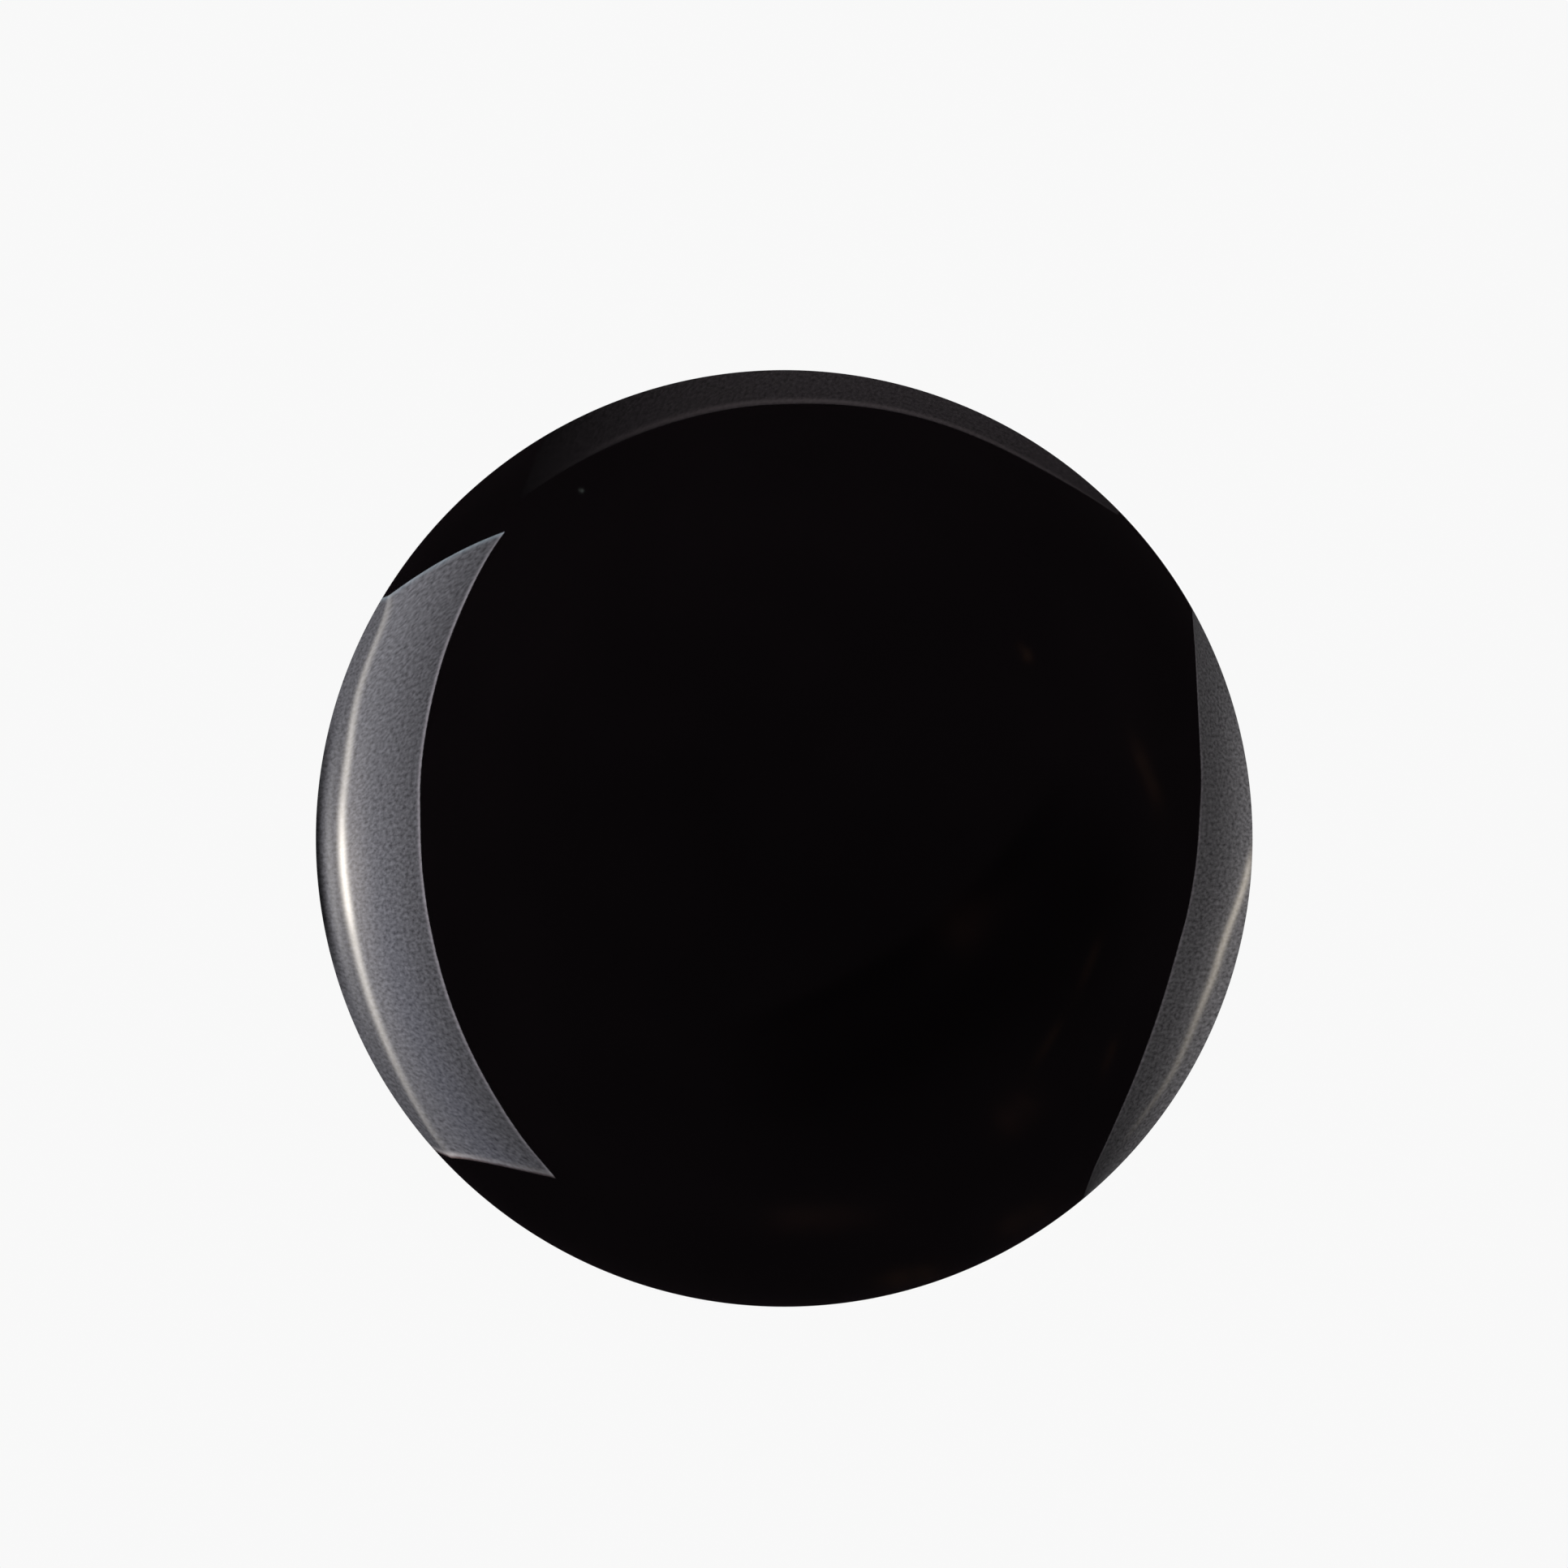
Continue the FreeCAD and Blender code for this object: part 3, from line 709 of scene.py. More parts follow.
# ------------------------------------------------------------------ corner cube
def make_prism():
    segs = 256
    gap = 0.012                       # an air film keeps the glass clear of the mirror coating's own solid
    ch = 0.40
    bm = bmesh.new()
    prof = [(0, APEX_Y - 1.0), (PRISM_R - 0.004, APEX_Y - 1.0), (PRISM_R - 0.004, PRISM_FRONT - ch), (PRISM_R - ch, PRISM_FRONT), (0, PRISM_FRONT)]
    bm2 = bmesh.new()
    revolve(bm2, prof, segs, False)
    bmesh.ops.remove_doubles(bm2, verts=bm2.verts, dist=1e-5)
    me = bpy.data.meshes.new("tmp")
    bm2.to_mesh(me)
    bm2.free()
    bm.from_mesh(me)
    bpy.data.meshes.remove(me)
    # three faces that meet at the apex: their outward normals lean 54.74 degrees from -Y
    ny, nr = -1 / math.sqrt(3.0), math.sqrt(2.0 / 3.0)
    face_n = []
    for deg in (-90.0, 30.0, 150.0):  # one edge stands straight up, so one face looks straight down
        a = math.radians(deg)
        face_n.append(Vector((nr * math.cos(a), ny, nr * math.sin(a))))
    cuts = [(Vector((0, APEX_Y, 0)) - n * gap, n, 0) for n in face_n]
    # the three roof edges and the tip are blunted by a tenth of a millimetre
    for i in range(3):
        n = (face_n[i] + face_n[(i + 1) % 3]).normalized()
        cuts.append((Vector((0, APEX_Y, 0)) - n * (gap * math.sqrt(2) + 0.055), n, 1))
    cuts.append((Vector((0, APEX_Y + gap * math.sqrt(3) + 0.13, 0)), Vector((0, -1, 0)), 1))
    for co, no, mi in cuts:
        geom = bm.verts[:] + bm.edges[:] + bm.faces[:]
        res = bmesh.ops.bisect_plane(bm, geom=geom, plane_co=co, plane_no=no, clear_outer=True, dist=1e-7)
        rim = [e for e in res["geom_cut"] if isinstance(e, bmesh.types.BMEdge)]
        made = bmesh.ops.edgeloop_fill(bm, edges=rim)
        for f in made["faces"]:
            f.material_index = 1 if mi else 0
    for f in bm.faces:
        n = f.normal
        f.normal_update()
        c = f.calc_center_median()
        flat_back = any(abs(f.normal.dot(q)) > 0.9999 for q in face_n)
        front = abs(f.normal.y) > 0.999 and c.y > 0
        f.material_index = 0 if (flat_back or front) else 1
        f.smooth = not (flat_back or front)
    big = [f for f in bm.faces if len(f.verts) > 4]
    return finish_mesh("corner_cube_glass", bm, [MAT_GLASS, MAT_GROUND], "ball", ["corner_cube_prism"], 20.0)


# ------------------------------------------------------------------ seal, slip ring, index dot
def make_seal():
    r_mid = (seal_hi.x / MM + 10.09) / 2
    wire = (seal_hi.y - seal_lo.y) / MM / 2
    y_mid = (seal_hi.y + seal_lo.y) / MM / 2
    r_mid = round(seal_hi.x / MM - wire, 3)
    pts = []
    n = 40
    for k in range(n):
        a = 2 * math.pi * k / n
        flash = 0.004 if k in (n // 8, 5 * n // 8) else 0.0
        pts.append((r_mid + (wire - 0.004 + flash) * math.cos(a), y_mid + (wire - 0.004 + flash) * math.sin(a)))
    bm = bmesh.new()
    revolve(bm, pts, 256, True)
    return finish_mesh("front_seal_ring", bm, [MAT_SEAL], "ball", ["front_seal"], 40)


def make_slip():
    y0, y1 = slip_lo.y / MM, slip_hi.y / MM
    mid = y0 + 0.05
    pts = rounded([(10.5, y0), (11.70, y0, 0.02), (11.70, mid), (11.90, mid + 0.02), (11.90, mid + 0.14), (11.70, mid + 0.16), (11.70, y1, 0.02), (9.30, y1, 0.06), (9.30, y0, 0.06), (10.4, y0)], 4)
    bm = bmesh.new()
    revolve(bm, clean(pts, True), 256, True)
    return finish_mesh("slip_ring_turned", bm, [MAT_SLIP], "slip", ["slip_ring"], 30)


def make_dot():
    c = Vector(((dot_lo.x + dot_hi.x) / 2, 0, (dot_lo.z + dot_hi.z) / 2)) / MM
    r = (dot_hi.x - dot_lo.x) / 2 / MM
    y0, y1 = dot_lo.y / MM, dot_hi.y / MM
    bm = bmesh.new()
    prof = [(0, y0), (r, y0), (r, y1 - 0.03)] + [(r * math.cos(a), y1 - 0.03 + 0.03 * math.sin(a)) for a in (0.3, 0.7, 1.1, 1.35)] + [(0, y1)]
    revolve(bm, prof, 48, False)
    bmesh.ops.translate(bm, vec=(c.x, 0, c.z), verts=bm.verts)
    return finish_mesh("index_dot_paint", bm, [MAT_DOT], "bezel", ["index_dot"], 40)


ball_closed = make_ball_closed_side()
make_ball_open_side()
make_bezel()
make_prism()
make_seal()
make_slip()
make_dot()

for node, mat in (("axial_shim", MAT_SHIM), ("prism_cell", MAT_CELL), ("cell_screws", MAT_SCREW), ("mirror_coating", MAT_MIRROR),
                  ("bonding_pads", MAT_BOND), ("prism_seat_ring", MAT_SEAT), ("thread_lock_pellet", MAT_NYLON)):
    ob = frame["nodes"][node]
    ob.data.materials.clear()
    ob.data.materials.append(mat)


# ------------------------------------------------------------------ studio: floor, backdrop and the panels that the ball mirrors
PALE = lin(248.3)


def stage_material(name):
    m = bpy.data.materials.new(name)
    m.use_nodes = True
    t = Tree(m.node_tree)
    out = t.node("ShaderNodeOutputMaterial")
    return m, t, out


floor_mat, t, out = stage_material("floor_pale")
em = t.node("ShaderNodeEmission")
# a plain pale sweep: one even tone
em.inputs["Color"].default_value = (PALE, PALE, PALE, 1)
t.link(em.outputs[0], out.inputs["Surface"])
me = bpy.data.meshes.new("floor")
s = 25.0
me.from_pydata([(-s, -s, 0), (s, -s, 0), (s, s, 0), (-s, s, 0)], [], [(0, 1, 2, 3)])
me.materials.append(floor_mat)
floor = bpy.data.objects.new("floor", me)
floor.location = (0, 0, -BALL_R * MM - 0.0002)
scene.collection.objects.link(floor)
floor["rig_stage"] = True
floor.visible_glossy = floor.visible_diffuse = floor.visible_transmission = floor.visible_shadow = False

world = bpy.data.worlds.new("studio")
scene.world = world
world.use_nodes = True
t = Tree(world.node_tree)
out = t.node("ShaderNodeOutputWorld")
lp = t.node("ShaderNodeLightPath")
direction = t.node("ShaderNodeNewGeometry").outputs["Normal"]
up = t.split(direction)[2]
room = t.ramp(t.map_range(up, -1, 1, 0, 1), [(0.0, 0.10), (0.35, 0.16), (0.5, 0.34), (0.62, 0.62), (0.8, 0.40), (1.0, 0.75)])
room = t.mix(t.noise(direction, 1.7, 3.0), room, t.mix(0.5, room, (0.55, 0.57, 0.60, 1)))
camera_bg, soft_bg, room_bg = (t.node("ShaderNodeBackground") for _ in range(3))
camera_bg.inputs["Color"].default_value = (PALE, PALE, PALE, 1)
soft_bg.inputs["Color"].default_value = (0.95, 0.97, 1.0, 1)
soft_bg.inputs["Strength"].default_value = 0.75
t.link(room, room_bg.inputs["Color"])
black = t.node("ShaderNodeBackground")
black.inputs["Color"].default_value = (0, 0, 0, 1)
mix1, mix2, mix3 = (t.node("ShaderNodeMixShader") for _ in range(3))
t.link(lp.outputs["Is Diffuse Ray"], mix1.inputs[0])
t.link(black.outputs[0], mix1.inputs[1])
t.link(soft_bg.outputs[0], mix1.inputs[2])
t.link(lp.outputs["Is Transmission Ray"], mix2.inputs[0])
t.link(mix1.outputs[0], mix2.inputs[1])
t.link(room_bg.outputs[0], mix2.inputs[2])
t.link(lp.outputs["Is Camera Ray"], mix3.inputs[0])
t.link(mix2.outputs[0], mix3.inputs[1])
t.link(camera_bg.outputs[0], mix3.inputs[2])
t.link(mix3.outputs[0], out.inputs["Surface"])

# ---- panels, laid out by where the ball mirrors them in the camera's frame
PANEL_R = 0.90


def mirrored(x, y, reach=PANEL_R):
    """Where a ray through frame point (x, y) goes after it leaves the ball, out to a sphere of radius reach, and the glance cosine."""
    o = Vector((CAM_X, -CAM_D, CAM_Z))
    half_px = FRAME_PX / 2
    d = Vector(((x - half_px) / half_px * HALF, 1.0, (half_px - y) / half_px * HALF)).normalized()
    R = BALL_R * MM
    b = o.dot(d)
    disc = b * b - (o.length_squared - R * R)
    if disc <= 0:
        # just off the ball: use its rim
        n = (o + d * (-b)).normalized()
        return n * R + d * reach, 0.0
    p = o + d * (-b - math.sqrt(disc))
    n = p.normalized()
    cos = -d.dot(n)
    r = d + n * (2 * cos)
    b2 = p.dot(r)
    k = -b2 + math.sqrt(b2 * b2 - (p.length_squared - reach * reach))
    return p + r * k, cos


def fresnel(cos, ior):
    g = math.sqrt(ior * ior - 1 + cos * cos)
    a = (g - cos) / (g + cos)
    b = (cos * (g + cos) - 1) / (cos * (g - cos) + 1)
    return 0.5 * a * a * (1 + b * b)


def spline(points, at):
    """A smooth curve x(y) through points sorted by y (monotone cubic)."""
    xs, ys = [p[1] for p in points], [p[0] for p in points]
    n = len(xs)
    d = [(ys[i + 1] - ys[i]) / (xs[i + 1] - xs[i]) for i in range(n - 1)]
    m = [d[0]] + [(d[i - 1] + d[i]) / 2 for i in range(1, n - 1)] + [d[-1]]
    at = min(max(at, xs[0]), xs[-1])
    i = max(k for k in range(n - 1) if xs[k] <= at or k == 0)
    h = xs[i + 1] - xs[i]
    u = (at - xs[i]) / h
    return (ys[i] * (2 * u ** 3 - 3 * u * u + 1) + m[i] * h * (u ** 3 - 2 * u * u + u)
            + ys[i + 1] * (-2 * u ** 3 + 3 * u * u) + m[i + 1] * h * (u ** 3 - u * u))


def rim_x(y, side, inset=0.0):
    r = BALL_PX - inset
    v = max(0.0, r * r - (BALL_CY - y) ** 2)
    return BALL_CX + side * math.sqrt(v)


def panel(name, rows, cols, point, mat, reach=PANEL_R):
    """A curved light panel. point(u, v) gives the frame point that mirrors it."""
    verts, faces, uv, comp = [], [], [], []
    for j in range(rows + 1):
        for i in range(cols + 1):
            u, v = i / cols, j / rows
            p, cos = mirrored(*point(u, v), reach)
            verts.append(p)
            uv.append((u, v))
            comp.append(1.0 / max(0.02, fresnel(cos, 2.1)))
    w = cols + 1
    for j in range(rows):
        for i in range(cols):
            faces.append((j * w + i, j * w + i + 1, (j + 1) * w + i + 1, (j + 1) * w + i))
    me = bpy.data.meshes.new(name)
    me.from_pydata([tuple(v) for v in verts], [], faces)
    layer = me.uv_layers.new(name="panel")
    for loop in me.loops:
        layer.data[loop.index].uv = uv[loop.vertex_index]
    at = me.attributes.new("gain", "FLOAT", "POINT")
    at.data.foreach_set("value", comp)
    me.materials.append(mat)
    o = bpy.data.objects.new(name, me)
    scene.collection.objects.link(o)
    o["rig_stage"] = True
    o.visible_camera = False
    o.visible_shadow = False
    return o


def panel_material(name, build, sheer=False):
    m, t, out = stage_material(name)
    uvn = t.node("ShaderNodeUVMap", uv_map="panel").outputs[0]
    u, v, _ = t.split(uvn)
    gain = t.node("ShaderNodeAttribute", attribute_name="gain").outputs["Fac"]
    colour = build(t, u, v)
    em = t.node("ShaderNodeEmission")
    t.link(t.scale(colour, gain), em.inputs["Color"])
    em.inputs["Strength"].default_value = 1.0
    if sheer:                       # a glow in the air, which lets what is behind it through
        both = t.node("ShaderNodeAddShader")
        t.link(em.outputs[0], both.inputs[0])
        t.link(t.node("ShaderNodeBsdfTransparent").outputs[0], both.inputs[1])
        em = both
    t.link(em.outputs[0], out.inputs["Surface"])
    return m


def bell(t, u, centre, width):
    d = t.math("DIVIDE", t.math("SUBTRACT", u, centre), width)
    return t.math("EXPONENT", t.math("MULTIPLY", t.math("MULTIPLY", d, d), -1.0))


def weave(t, u, v, nu, nv, amount):
    """The diffuser cloth's fine grain."""
    g = t.noise(t.join(t.math("MULTIPLY", u, nu), t.math("MULTIPLY", v, nv), 0.0), 1.0, 1.5, 0.6)
    return t.map_range(g, 0.25, 0.75, 1.0 - amount, 1.0 + amount)


def stops(rows, lo, hi):
    """(frame y, display value) rows as ramp stops along a panel."""
    return [((y - lo) / (hi - lo), lin(v)) for y, v in rows]


# left panel
L_IN = [(622, 655), (605, 680), (583, 720), (549.5, 800), (528.5, 880), (518.5, 950), (517.5, 1000), (521, 1080), (534, 1160), (557, 1240), (593, 1320), (643, 1400), (685, 1450)]
L_RIDGE = [(479, 734), (474, 760), (452, 820), (440, 860), (428, 940), (421.5, 1000), (421.5, 1040), (424, 1080), (437, 1160), (459, 1240), (492, 1320), (538, 1400), (556, 1421)]
RIDGE_U = 0.75


def left_point(u, v):
    yi, yr = 655 + 795 * v, 734 + 687 * v
    xi, xr = spline(L_IN, yi), spline(L_RIDGE, yr)
    if u <= RIDGE_U:
        s = u / RIDGE_U
        bow = -7.0 * (1 - v) ** 6 * 4 * s * (1 - s) + v ** 8 * (2.0 + 4.0 * s ** 6)
        return xi + (xr - xi) * s, yi + (yr - yi) * s + bow
    s = (u - RIDGE_U) / (1 - RIDGE_U)
    ye = 737 + 682 * v
    xe = rim_x(ye, -1, 0.05)
    return xr + (xe - xr) * s, yr + (ye - yr) * s + 6.0 * v ** 8 * (1 - s)


def left_light(t, u, v):
    base = t.ramp(v, stops([(734, 92), (800, 96), (900, 97), (1000, 101), (1070, 104), (1150, 101), (1240, 95), (1310, 88), (1370, 82), (1421, 80)], 734, 1421), "B_SPLINE")
    across = t.ramp(u, [(0.0, 0.66), (0.09, 0.69), (0.20, 0.82), (0.35, 1.0), (0.47, 1.16), (0.60, 1.36), (0.72, 1.40), (0.80, 1.02), (1.0, 0.98)], "LINEAR")
    tint = (0.988, 0.978, 1.085, 1)
    grain = t.math("SUBTRACT", weave(t, u, v, 30.0, 170.0, 0.58), 1.0)
    grain = t.math("MAXIMUM", t.math("ADD", 1.0, t.math("MULTIPLY", grain, t.ramp(u, [(0.0, 1.0), (0.20, 0.95), (0.45, 0.86), (1.0, 0.78)]))), 0.05)
    body = t.vmath("MULTIPLY", t.scale(t.scale(base, across), grain), tint[:3])
    halo_v = t.ramp(v, [(0.0, 0.0), (0.25, 0.012), (0.40, 0.055), (0.50, 0.098), (0.57, 0.070), (0.68, 0.030), (0.85, 0.010), (1.0, 0.0)])
    halo = t.scale(t.vmath("MULTIPLY", halo_v, (1.15, 1.0, 0.84)), bell(t, u, RIDGE_U - 0.05, 0.15))
    ridge_v = t.ramp(v, [(0.0, 0.08), (0.04, 0.17), (0.17, 0.24), (0.26, 0.36), (0.35, 0.42), (0.40, 0.62), (0.46, 0.92), (0.56, 0.88), (0.61, 0.52), (0.70, 0.40), (0.78, 0.29), (0.87, 0.18), (0.955, 0.10), (1.0, 0.03)])
    ridge = t.scale(t.vmath("MULTIPLY", ridge_v, (1.0, 0.94, 0.85)), bell(t, u, RIDGE_U, 0.038))
    edge_v = t.ramp(v, [(0.0, 0.06), (0.1, 0.13), (0.5, 0.13), (0.8, 0.09), (1.0, 0.04)])
    edge = t.scale(t.vmath("MULTIPLY", edge_v, (1.06, 0.96, 1.06)), bell(t, u, 0.010, 0.016))
    ends = t.scale(t.vmath("MULTIPLY", (0.10, 0.13, 0.15), (1, 1, 1)), bell(t, v, 0.0, 0.006))
    low_amp = t.ramp(u, [(0.0, 0.04), (0.20, 0.05), (0.45, 0.07), (0.62, 0.13), (0.73, 0.24), (0.80, 0.15), (1.0, 0.05)])
    low_end = t.scale(t.vmath("MULTIPLY", low_amp, (1.02, 0.92, 0.90)), bell(t, v, 0.9935, 0.0045))
    cool = t.scale(t.vmath("MULTIPLY", (-0.0015, 0.0, 0.0055), (1, 1, 1)), t.math("MULTIPLY", bell(t, u, 0.42, 0.20), t.map_range(v, 0.35, 0.75, 0.0, 1.0, True)))
    total = body
    fringe = t.scale(t.vmath("MULTIPLY", low_amp, (0.42, 0.12, 0.05)), bell(t, v, 0.9985, 0.0020))
    for part in (halo, ridge, edge, ends, low_end, cool, fringe):
        total = t.vmath("ADD", total, part)
    # the far side of the cloth has a dark frame along its middle, with a brighter strip of spill inside it
    frame_v = t.ramp(v, [(0.0, 0.0), (0.18, 0.0), (0.27, 0.60), (0.40, 0.88), (0.58, 0.92), (0.66, 0.62), (0.73, 0.20), (0.80, 0.0), (1.0, 0.0)])
    frame_u = t.map_range(u, 0.90, 0.985, 0.0, 1.0, True)
    spill = t.scale(t.vmath("MULTIPLY", t.ramp(v, [(0.2, 0.0), (0.35, 0.05), (0.45, 0.10), (0.58, 0.10), (0.68, 0.04), (0.8, 0.0)]), (1.02, 1.0, 0.98)), bell(t, u, 0.875, 0.036))
    total = t.vmath("ADD", total, spill)
    soft_end = t.map_range(v, 0.9945, 1.0, 1.0, 0.30, True)
    return t.scale(total, t.math("MULTIPLY", soft_end, t.math("SUBTRACT", 1.0, t.math("MULTIPLY", frame_v, frame_u))))


panel("panel_left", 150, 60, left_point, panel_material("panel_left_light", left_light))

# right panel
R_IN = [(1468, 742), (1472.5, 800), (1475.5, 860), (1478.5, 920), (1480, 960), (1478.5, 1000), (1474, 1060), (1464, 1120), (1453.5, 1160), (1430, 1240), (1401, 1320), (1366.5, 1400), (1348, 1440), (1333, 1480)]


def right_point(u, v):
    yi = 746 + 730 * v
    xi = spline(R_IN, yi)
    ye = yi
    xe = rim_x(ye, 1, 0.05)
    return xi + (xe - xi) * u, yi


R_RIDGE = [(1546, 1030), (1541, 1055), (1536, 1080), (1523, 1120), (1508, 1160), (1496, 1200), (1480, 1240), (1464, 1280), (1446, 1320), (1405, 1380), (1366, 1430)]


def right_light(t, u, v):
    base = t.ramp(v, stops([(746, 60), (800, 61), (900, 62), (1000, 64), (1080, 65), (1200, 65), (1300, 61), (1380, 52), (1430, 45), (1476, 41)], 746, 1476), "B_SPLINE")
    across_top = t.ramp(u, [(0.0, 0.86), (0.3, 0.92), (0.7, 1.0), (1.0, 1.05)])
    across_mid = t.ramp(u, [(0.0, 0.76), (0.3, 0.86), (0.6, 1.25), (0.8, 1.72), (1.0, 2.15)])
    where_mid = t.map_range(v, 0.05, 0.32, 0.0, 1.0, True)
    across = t.mix(where_mid, across_top, across_mid)
    grain = weave(t, u, v, 18.0, 170.0, 0.60)
    body = t.vmath("MULTIPLY", t.scale(t.vmath("MULTIPLY", base, across), grain), (1.015, 0.98, 1.025))
    # the lamp behind the cloth: a slanting line
    where = []
    for k in range(15):
        y = 1030 + (1430 - 1030) * k / 14
        xi, xe = spline(R_IN, y), rim_x(y, 1, 0.05)
        where.append(((y - 746) / 730.0, min(1.4, (spline(R_RIDGE, y) - xi) / (xe - xi)) / 1.4))
    line = t.math("MULTIPLY", t.ramp(v, where), 1.4)
    narrow, wide = bell(t, u, line, 0.060), bell(t, u, line, 0.22)
    amp = t.ramp(v, [((y - 746) / 730.0, a) for y, a in ((1020, 0.0), (1045, 0.05), (1070, 0.24), (1095, 0.26), (1140, 0.24), (1170, 0.22), (1200, 0.18), (1230, 0.155), (1260, 0.11), (1290, 0.085), (1320, 0.07), (1350, 0.045), (1380, 0.025), (1410, 0.0))])
    ridge = t.scale(t.vmath("MULTIPLY", amp, (1.08, 0.97, 0.80)), narrow)
    halo = t.scale(t.vmath("MULTIPLY", amp, (0.09, 0.085, 0.08)), wide)
    edge = t.scale(t.vmath("MULTIPLY", base, (0.42, 0.36, 0.42)), bell(t, u, 0.02, 0.020))
    total = body
    for part in (ridge, halo, edge):
        total = t.vmath("ADD", total, part)
    return total


panel("panel_right", 150, 50, right_point, panel_material("panel_right_light", right_light))

# top panel
T_IN = [(616, 640), (589, 680), (555.5, 740), (530, 800), (512, 860), (501, 920), (497.5, 980), (499, 1040), (507, 1100), (522.5, 1160), (546, 1220), (576.5, 1280), (611, 1340), (634, 1376)]


def top_point(u, v):
    x = 640 + 736 * v
    yi = spline(T_IN, x)
    xe = 672 + 708 * v
    r = BALL_PX - 0.05
    ye = BALL_CY - math.sqrt(max(0.0, r * r - (xe - BALL_CX) ** 2))
    return x + (xe - x) * u, yi + (ye - yi) * u


def top_light(t, u, v):
    base = t.ramp(v, [((x - 640) / 736.0, lin(c)) for x, c in ((640, 11), (670, 15), (710, 20), (760, 25), (810, 29), (870, 32), (960, 36), (1060, 36), (1160, 35), (1240, 33), (1310, 31), (1376, 26))], "B_SPLINE")
    across = t.ramp(u, [(0.0, 0.80), (0.25, 0.94), (0.6, 1.0), (1.0, 1.06)])
    grain = weave(t, u, v, 12.0, 170.0, 0.45)
    body = t.vmath("MULTIPLY", t.scale(t.scale(base, across), grain), (1.08, 0.95, 1.02))
    edge_v = t.ramp(v, [(0.0, 0.0), (0.10, 0.002), (0.2, 0.010), (0.35, 0.016), (0.5, 0.020), (0.75, 0.014), (0.9, 0.010), (1.0, 0.004)])
    edge = t.scale(t.vmath("MULTIPLY", edge_v, (1.12, 0.94, 0.98)), bell(t, u, 0.09, 0.075))
    return t.vmath("ADD", body, edge)


panel("panel_top", 120, 30, top_point, panel_material("panel_top_light", top_light))

# ---- the dim room: a few faint warm glints low on the right, as far lamps and furniture give
def streak(name, x0, y0, x1, y1, width, level, tint):
    """A soft bar of dim light that the ball mirrors from one frame point to another."""
    rows, cols = 24, 8
    length = math.hypot(x1 - x0, y1 - y0)
    nx, ny = -(y1 - y0) / length, (x1 - x0) / length

    def point(u, v):
        off = (u - 0.5) * width
        return x0 + (x1 - x0) * v + nx * off, y0 + (y1 - y0) * v + ny * off

    def light(t, u, v):
        soft_u = bell(t, u, 0.5, 0.24)
        soft_v = bell(t, v, 0.5, 0.28)
        patchy = t.map_range(t.noise(t.join(t.math("MULTIPLY", u, 1.6), t.math("MULTIPLY", v, 3.5), level * 900.0), 1.0, 3.0), 0.35, 0.65, 0.45, 1.25)
        return t.scale(t.scale(t.vmath("MULTIPLY", tint, (level, level, level)), t.math("MULTIPLY", soft_u, soft_v)), patchy)

    return panel(name, rows, cols, point, panel_material(name + "_light", light, True), 1.05)


WARM, DULL, NEUTRAL = (1.8, 0.95, 0.50), (1.6, 0.85, 0.60), (0.9, 1.05, 0.95)
for n, (x0, y0, x1, y1, width, level, tint) in enumerate((
        (1386, 880, 1440, 1030, 40, 0.0020, WARM), (1366, 1130, 1318, 1245, 24, 0.0013, WARM), (1324, 1230, 1258, 1338, 24, 0.0013, WARM),
        (1382, 1262, 1350, 1342, 24, 0.0015, WARM), (1140, 1200, 1244, 1078, 130, 0.0009, DULL), (1210, 1412, 1300, 1330, 96, 0.0015, DULL),
        (880, 1506, 1136, 1498, 80, 0.0013, DULL), (1050, 1584, 1196, 1562, 50, 0.0018, WARM), (1200, 1530, 1328, 1474, 60, 0.0016, DULL),
        (712, 602, 721, 607, 10, 0.030, NEUTRAL), (1252, 788, 1276, 822, 26, 0.0030, WARM))):
    streak(f"room_glint_{n}", x0, y0, x1, y1, width, level, tint)


# ---- soft light for everything that faces away from the closed side: it is linked so that the closed side doesn't mirror it
far_side = bpy.data.collections.new("far_side_receivers")
for o in list(scene.collection.objects) + list(frame["nodes"].values()):
    if o.type == "MESH" and o is not ball_closed and not o.get("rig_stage") and o.name not in far_side.objects:
        far_side.objects.link(o)


def dome_light(t):
    """The unlit part of the studio: nearly black, with a darker stand low on the right."""
    n = t.vmath("NORMALIZE", t.coords(), (0, 0, 0))
    front = t.ramp(t.map_range(t.split(n)[1], -1.0, 1.0, 0.0, 1.0), [(0.0, 0.0103), (0.20, 0.0107), (0.40, 0.0120), (0.60, 0.0112), (0.80, 0.0082), (1.0, 0.0050)])
    upper_left = t.map_range(t.vmath("DOT_PRODUCT", n, (-0.50, 0.0, 0.86)), -1.0, 1.0, 0.86, 1.18)
    (a, _), (b, _) = mirrored(1310, 915), mirrored(985, 1225)
    across = a.cross(b).normalized()
    corner = Vector((0.64, -0.49, -0.59))
    if across.dot(corner) < 0:
        across = -across
    near = t.map_range(t.vmath("DOT_PRODUCT", n, tuple(corner)), 0.50, 0.86, 0.0, 1.0, True)
    bars = t.ramp(t.vmath("DOT_PRODUCT", n, tuple(across)), [(0.0, 0.0), (0.03, 0.55), (0.08, 0.70), (0.13, 0.52), (0.22, 0.42), (0.33, 0.60), (0.45, 0.62), (0.60, 0.40), (0.80, 0.15)], "B_SPLINE")
    g = t.math("MULTIPLY", t.math("MULTIPLY", front, upper_left), t.map_range(t.noise(n, 2.2, 3.0), 0.3, 0.7, 0.90, 1.10))
    return t.scale(t.vmath("MULTIPLY", (1.15, 0.88, 1.00), (1, 1, 1)), t.math("MULTIPLY", g, t.math("SUBTRACT", 1.0, t.math("MULTIPLY", near, bars))))


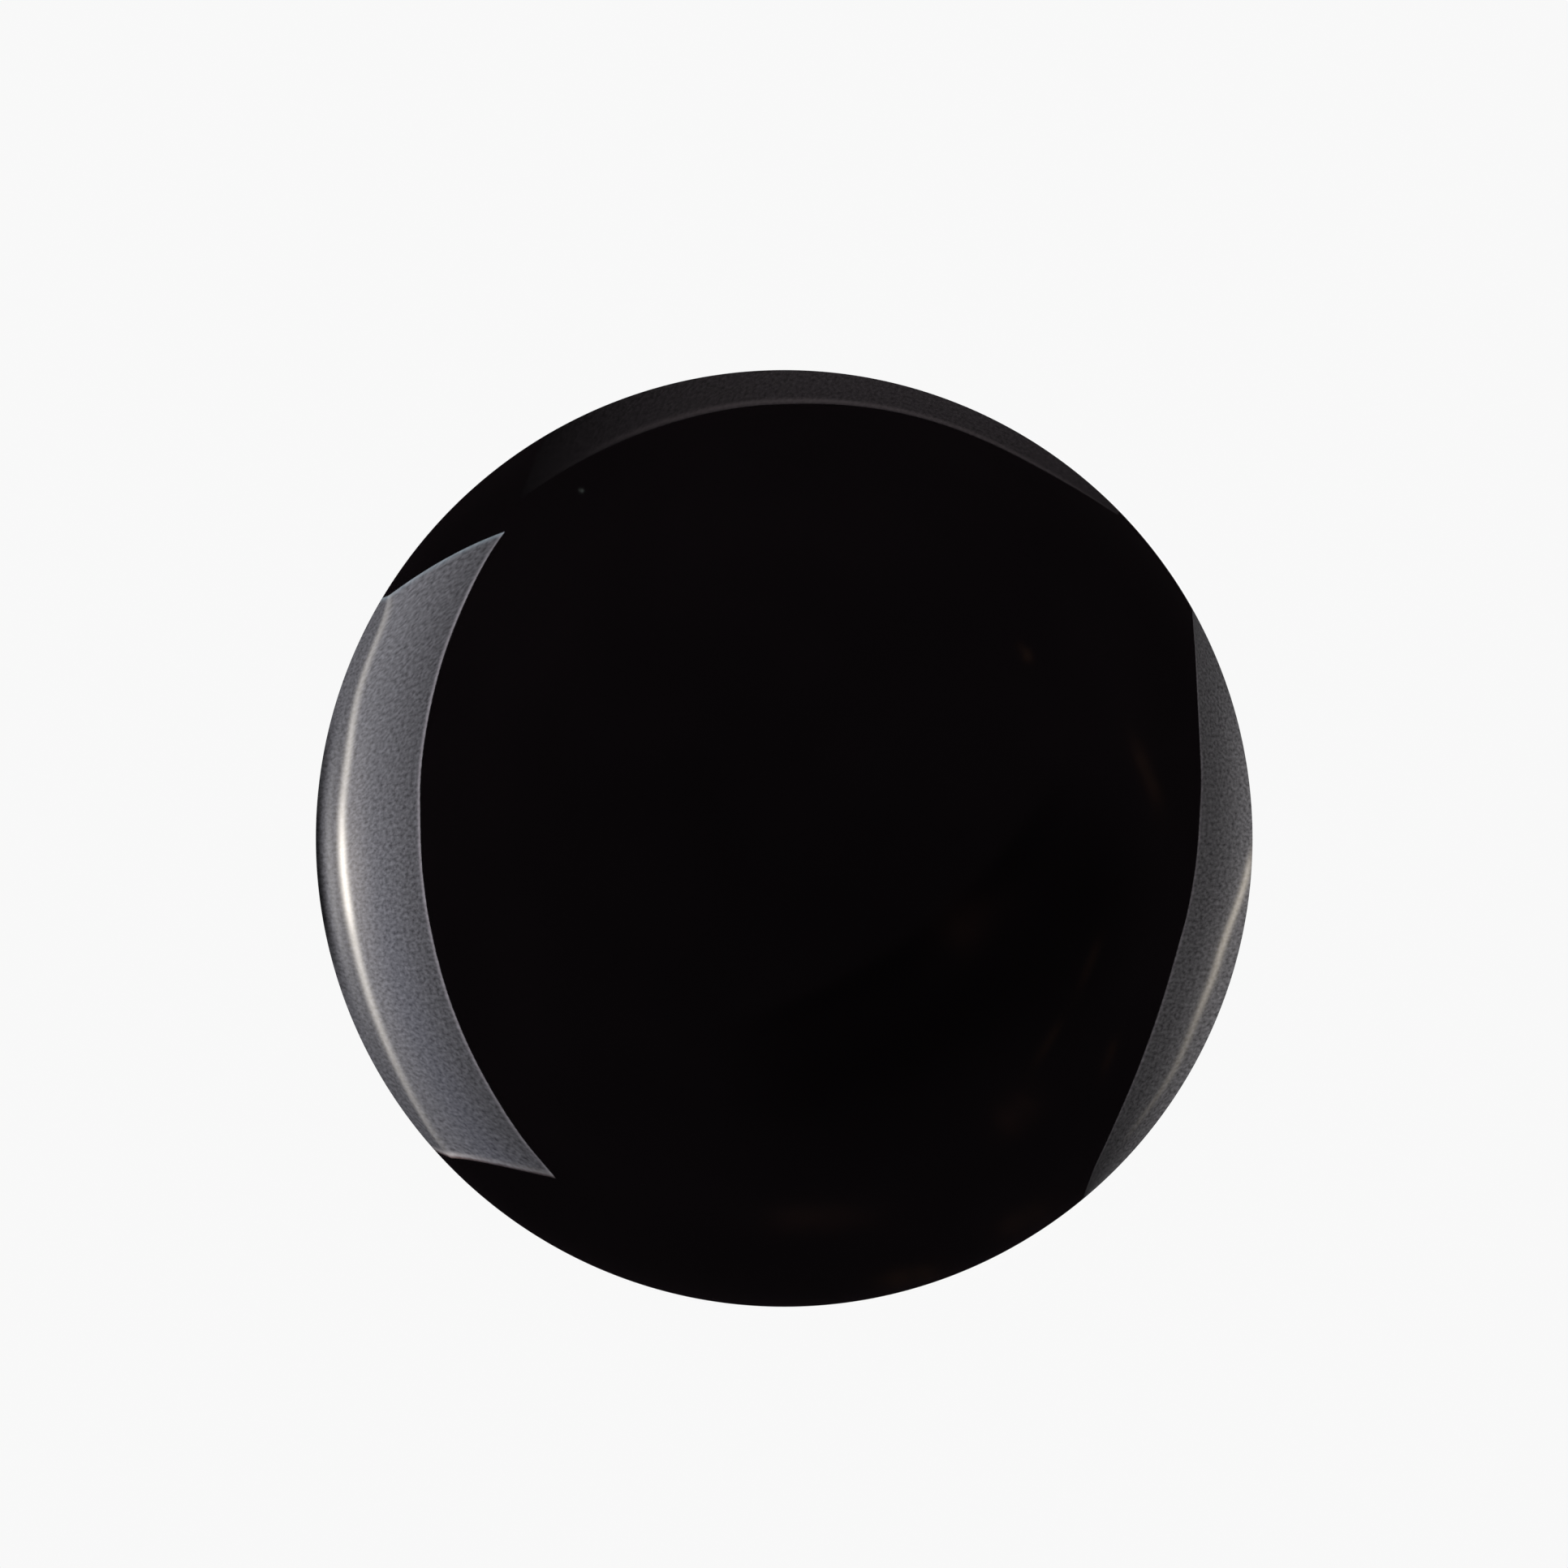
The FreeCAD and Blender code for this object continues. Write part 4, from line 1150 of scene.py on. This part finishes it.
def softbox(name, direction, size, level, tint, reach=1.35):
    """A softbox, size[0] by size[1] metres, that faces the object: brightest in the middle and dimmer towards its
    edges.
    """
    d = Vector(direction).normalized()
    centre = d * reach
    n = 12
    bm = bmesh.new()
    uvl = bm.loops.layers.uv.new("panel")
    grid = {}
    for j in range(n + 1):
        for i in range(n + 1):
            x, y = (i / n - 0.5) * size[0], (j / n - 0.5) * size[1]
            bow = 0.05 * (1 - (2 * i / n - 1) ** 2) * (1 - (2 * j / n - 1) ** 2)
            grid[i, j] = bm.verts.new((x, y, bow))
    for j in range(n):
        for i in range(n):
            f = bm.faces.new((grid[i, j], grid[i + 1, j], grid[i + 1, j + 1], grid[i, j + 1]))
            for loop, (a, b) in zip(f.loops, ((i, j), (i + 1, j), (i + 1, j + 1), (i, j + 1))):
                loop[uvl].uv = (a / n, b / n)
    me = bpy.data.meshes.new(name)
    bm.to_mesh(me)
    bm.free()
    m, t, out = stage_material(name + "_light")
    u, v, _ = t.split(t.node("ShaderNodeUVMap", uv_map="panel").outputs[0])
    glow = t.math("MULTIPLY", t.math("ADD", 0.55, t.math("MULTIPLY", bell(t, u, 0.5, 0.42), 0.6)), t.math("ADD", 0.55, t.math("MULTIPLY", bell(t, v, 0.5, 0.42), 0.6)))
    em = t.node("ShaderNodeEmission")
    t.put(em.inputs["Color"], t.scale(t.vmath("MULTIPLY", tint, (1, 1, 1)), glow))
    em.inputs["Strength"].default_value = level
    both = t.node("ShaderNodeAddShader")
    t.link(em.outputs[0], both.inputs[0])
    t.link(t.node("ShaderNodeBsdfTransparent").outputs[0], both.inputs[1])
    t.link(both.outputs[0], out.inputs["Surface"])
    me.materials.append(m)
    o = bpy.data.objects.new(name, me)
    o.location = centre
    o.rotation_euler = (-d).to_track_quat("Z", "Y").to_euler()
    scene.collection.objects.link(o)
    o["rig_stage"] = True
    o.visible_camera = o.visible_shadow = False
    o.light_linking.receiver_collection = far_side
    return o


softbox("softbox_overhead", (-0.10, 0.10, 1.0), (1.1, 1.1), 1.15, (1.0, 1.0, 1.02))
softbox("softbox_front_left", (-0.85, -0.75, 0.55), (0.55, 1.2), 1.0, (1.0, 0.99, 0.97))
softbox("softbox_front_right", (0.95, -0.65, 0.25), (0.40, 1.3), 0.8, (0.97, 0.99, 1.03))
softbox("softbox_behind", (0.35, 1.0, 0.95), (0.9, 0.6), 0.9, (1.0, 1.0, 1.0))

dome_mat, t, out = stage_material("studio_dome")
em = t.node("ShaderNodeEmission")
t.put(em.inputs["Color"], dome_light(t))
t.link(em.outputs[0], out.inputs["Surface"])
bm = bmesh.new()
bmesh.ops.create_icosphere(bm, subdivisions=4, radius=2.2)
me = bpy.data.meshes.new("studio_dome")
bm.to_mesh(me)
bm.free()
me.shade_smooth()
me.materials.append(dome_mat)
dome = bpy.data.objects.new("studio_dome", me)
scene.collection.objects.link(dome)
dome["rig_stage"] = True
dome.visible_camera = dome.visible_shadow = dome.visible_transmission = dome.visible_diffuse = False

# enough bounces for a ray to go in and out of the corner cube
scene.cycles.max_bounces, scene.cycles.glossy_bounces, scene.cycles.transmission_bounces = 24, 16, 24
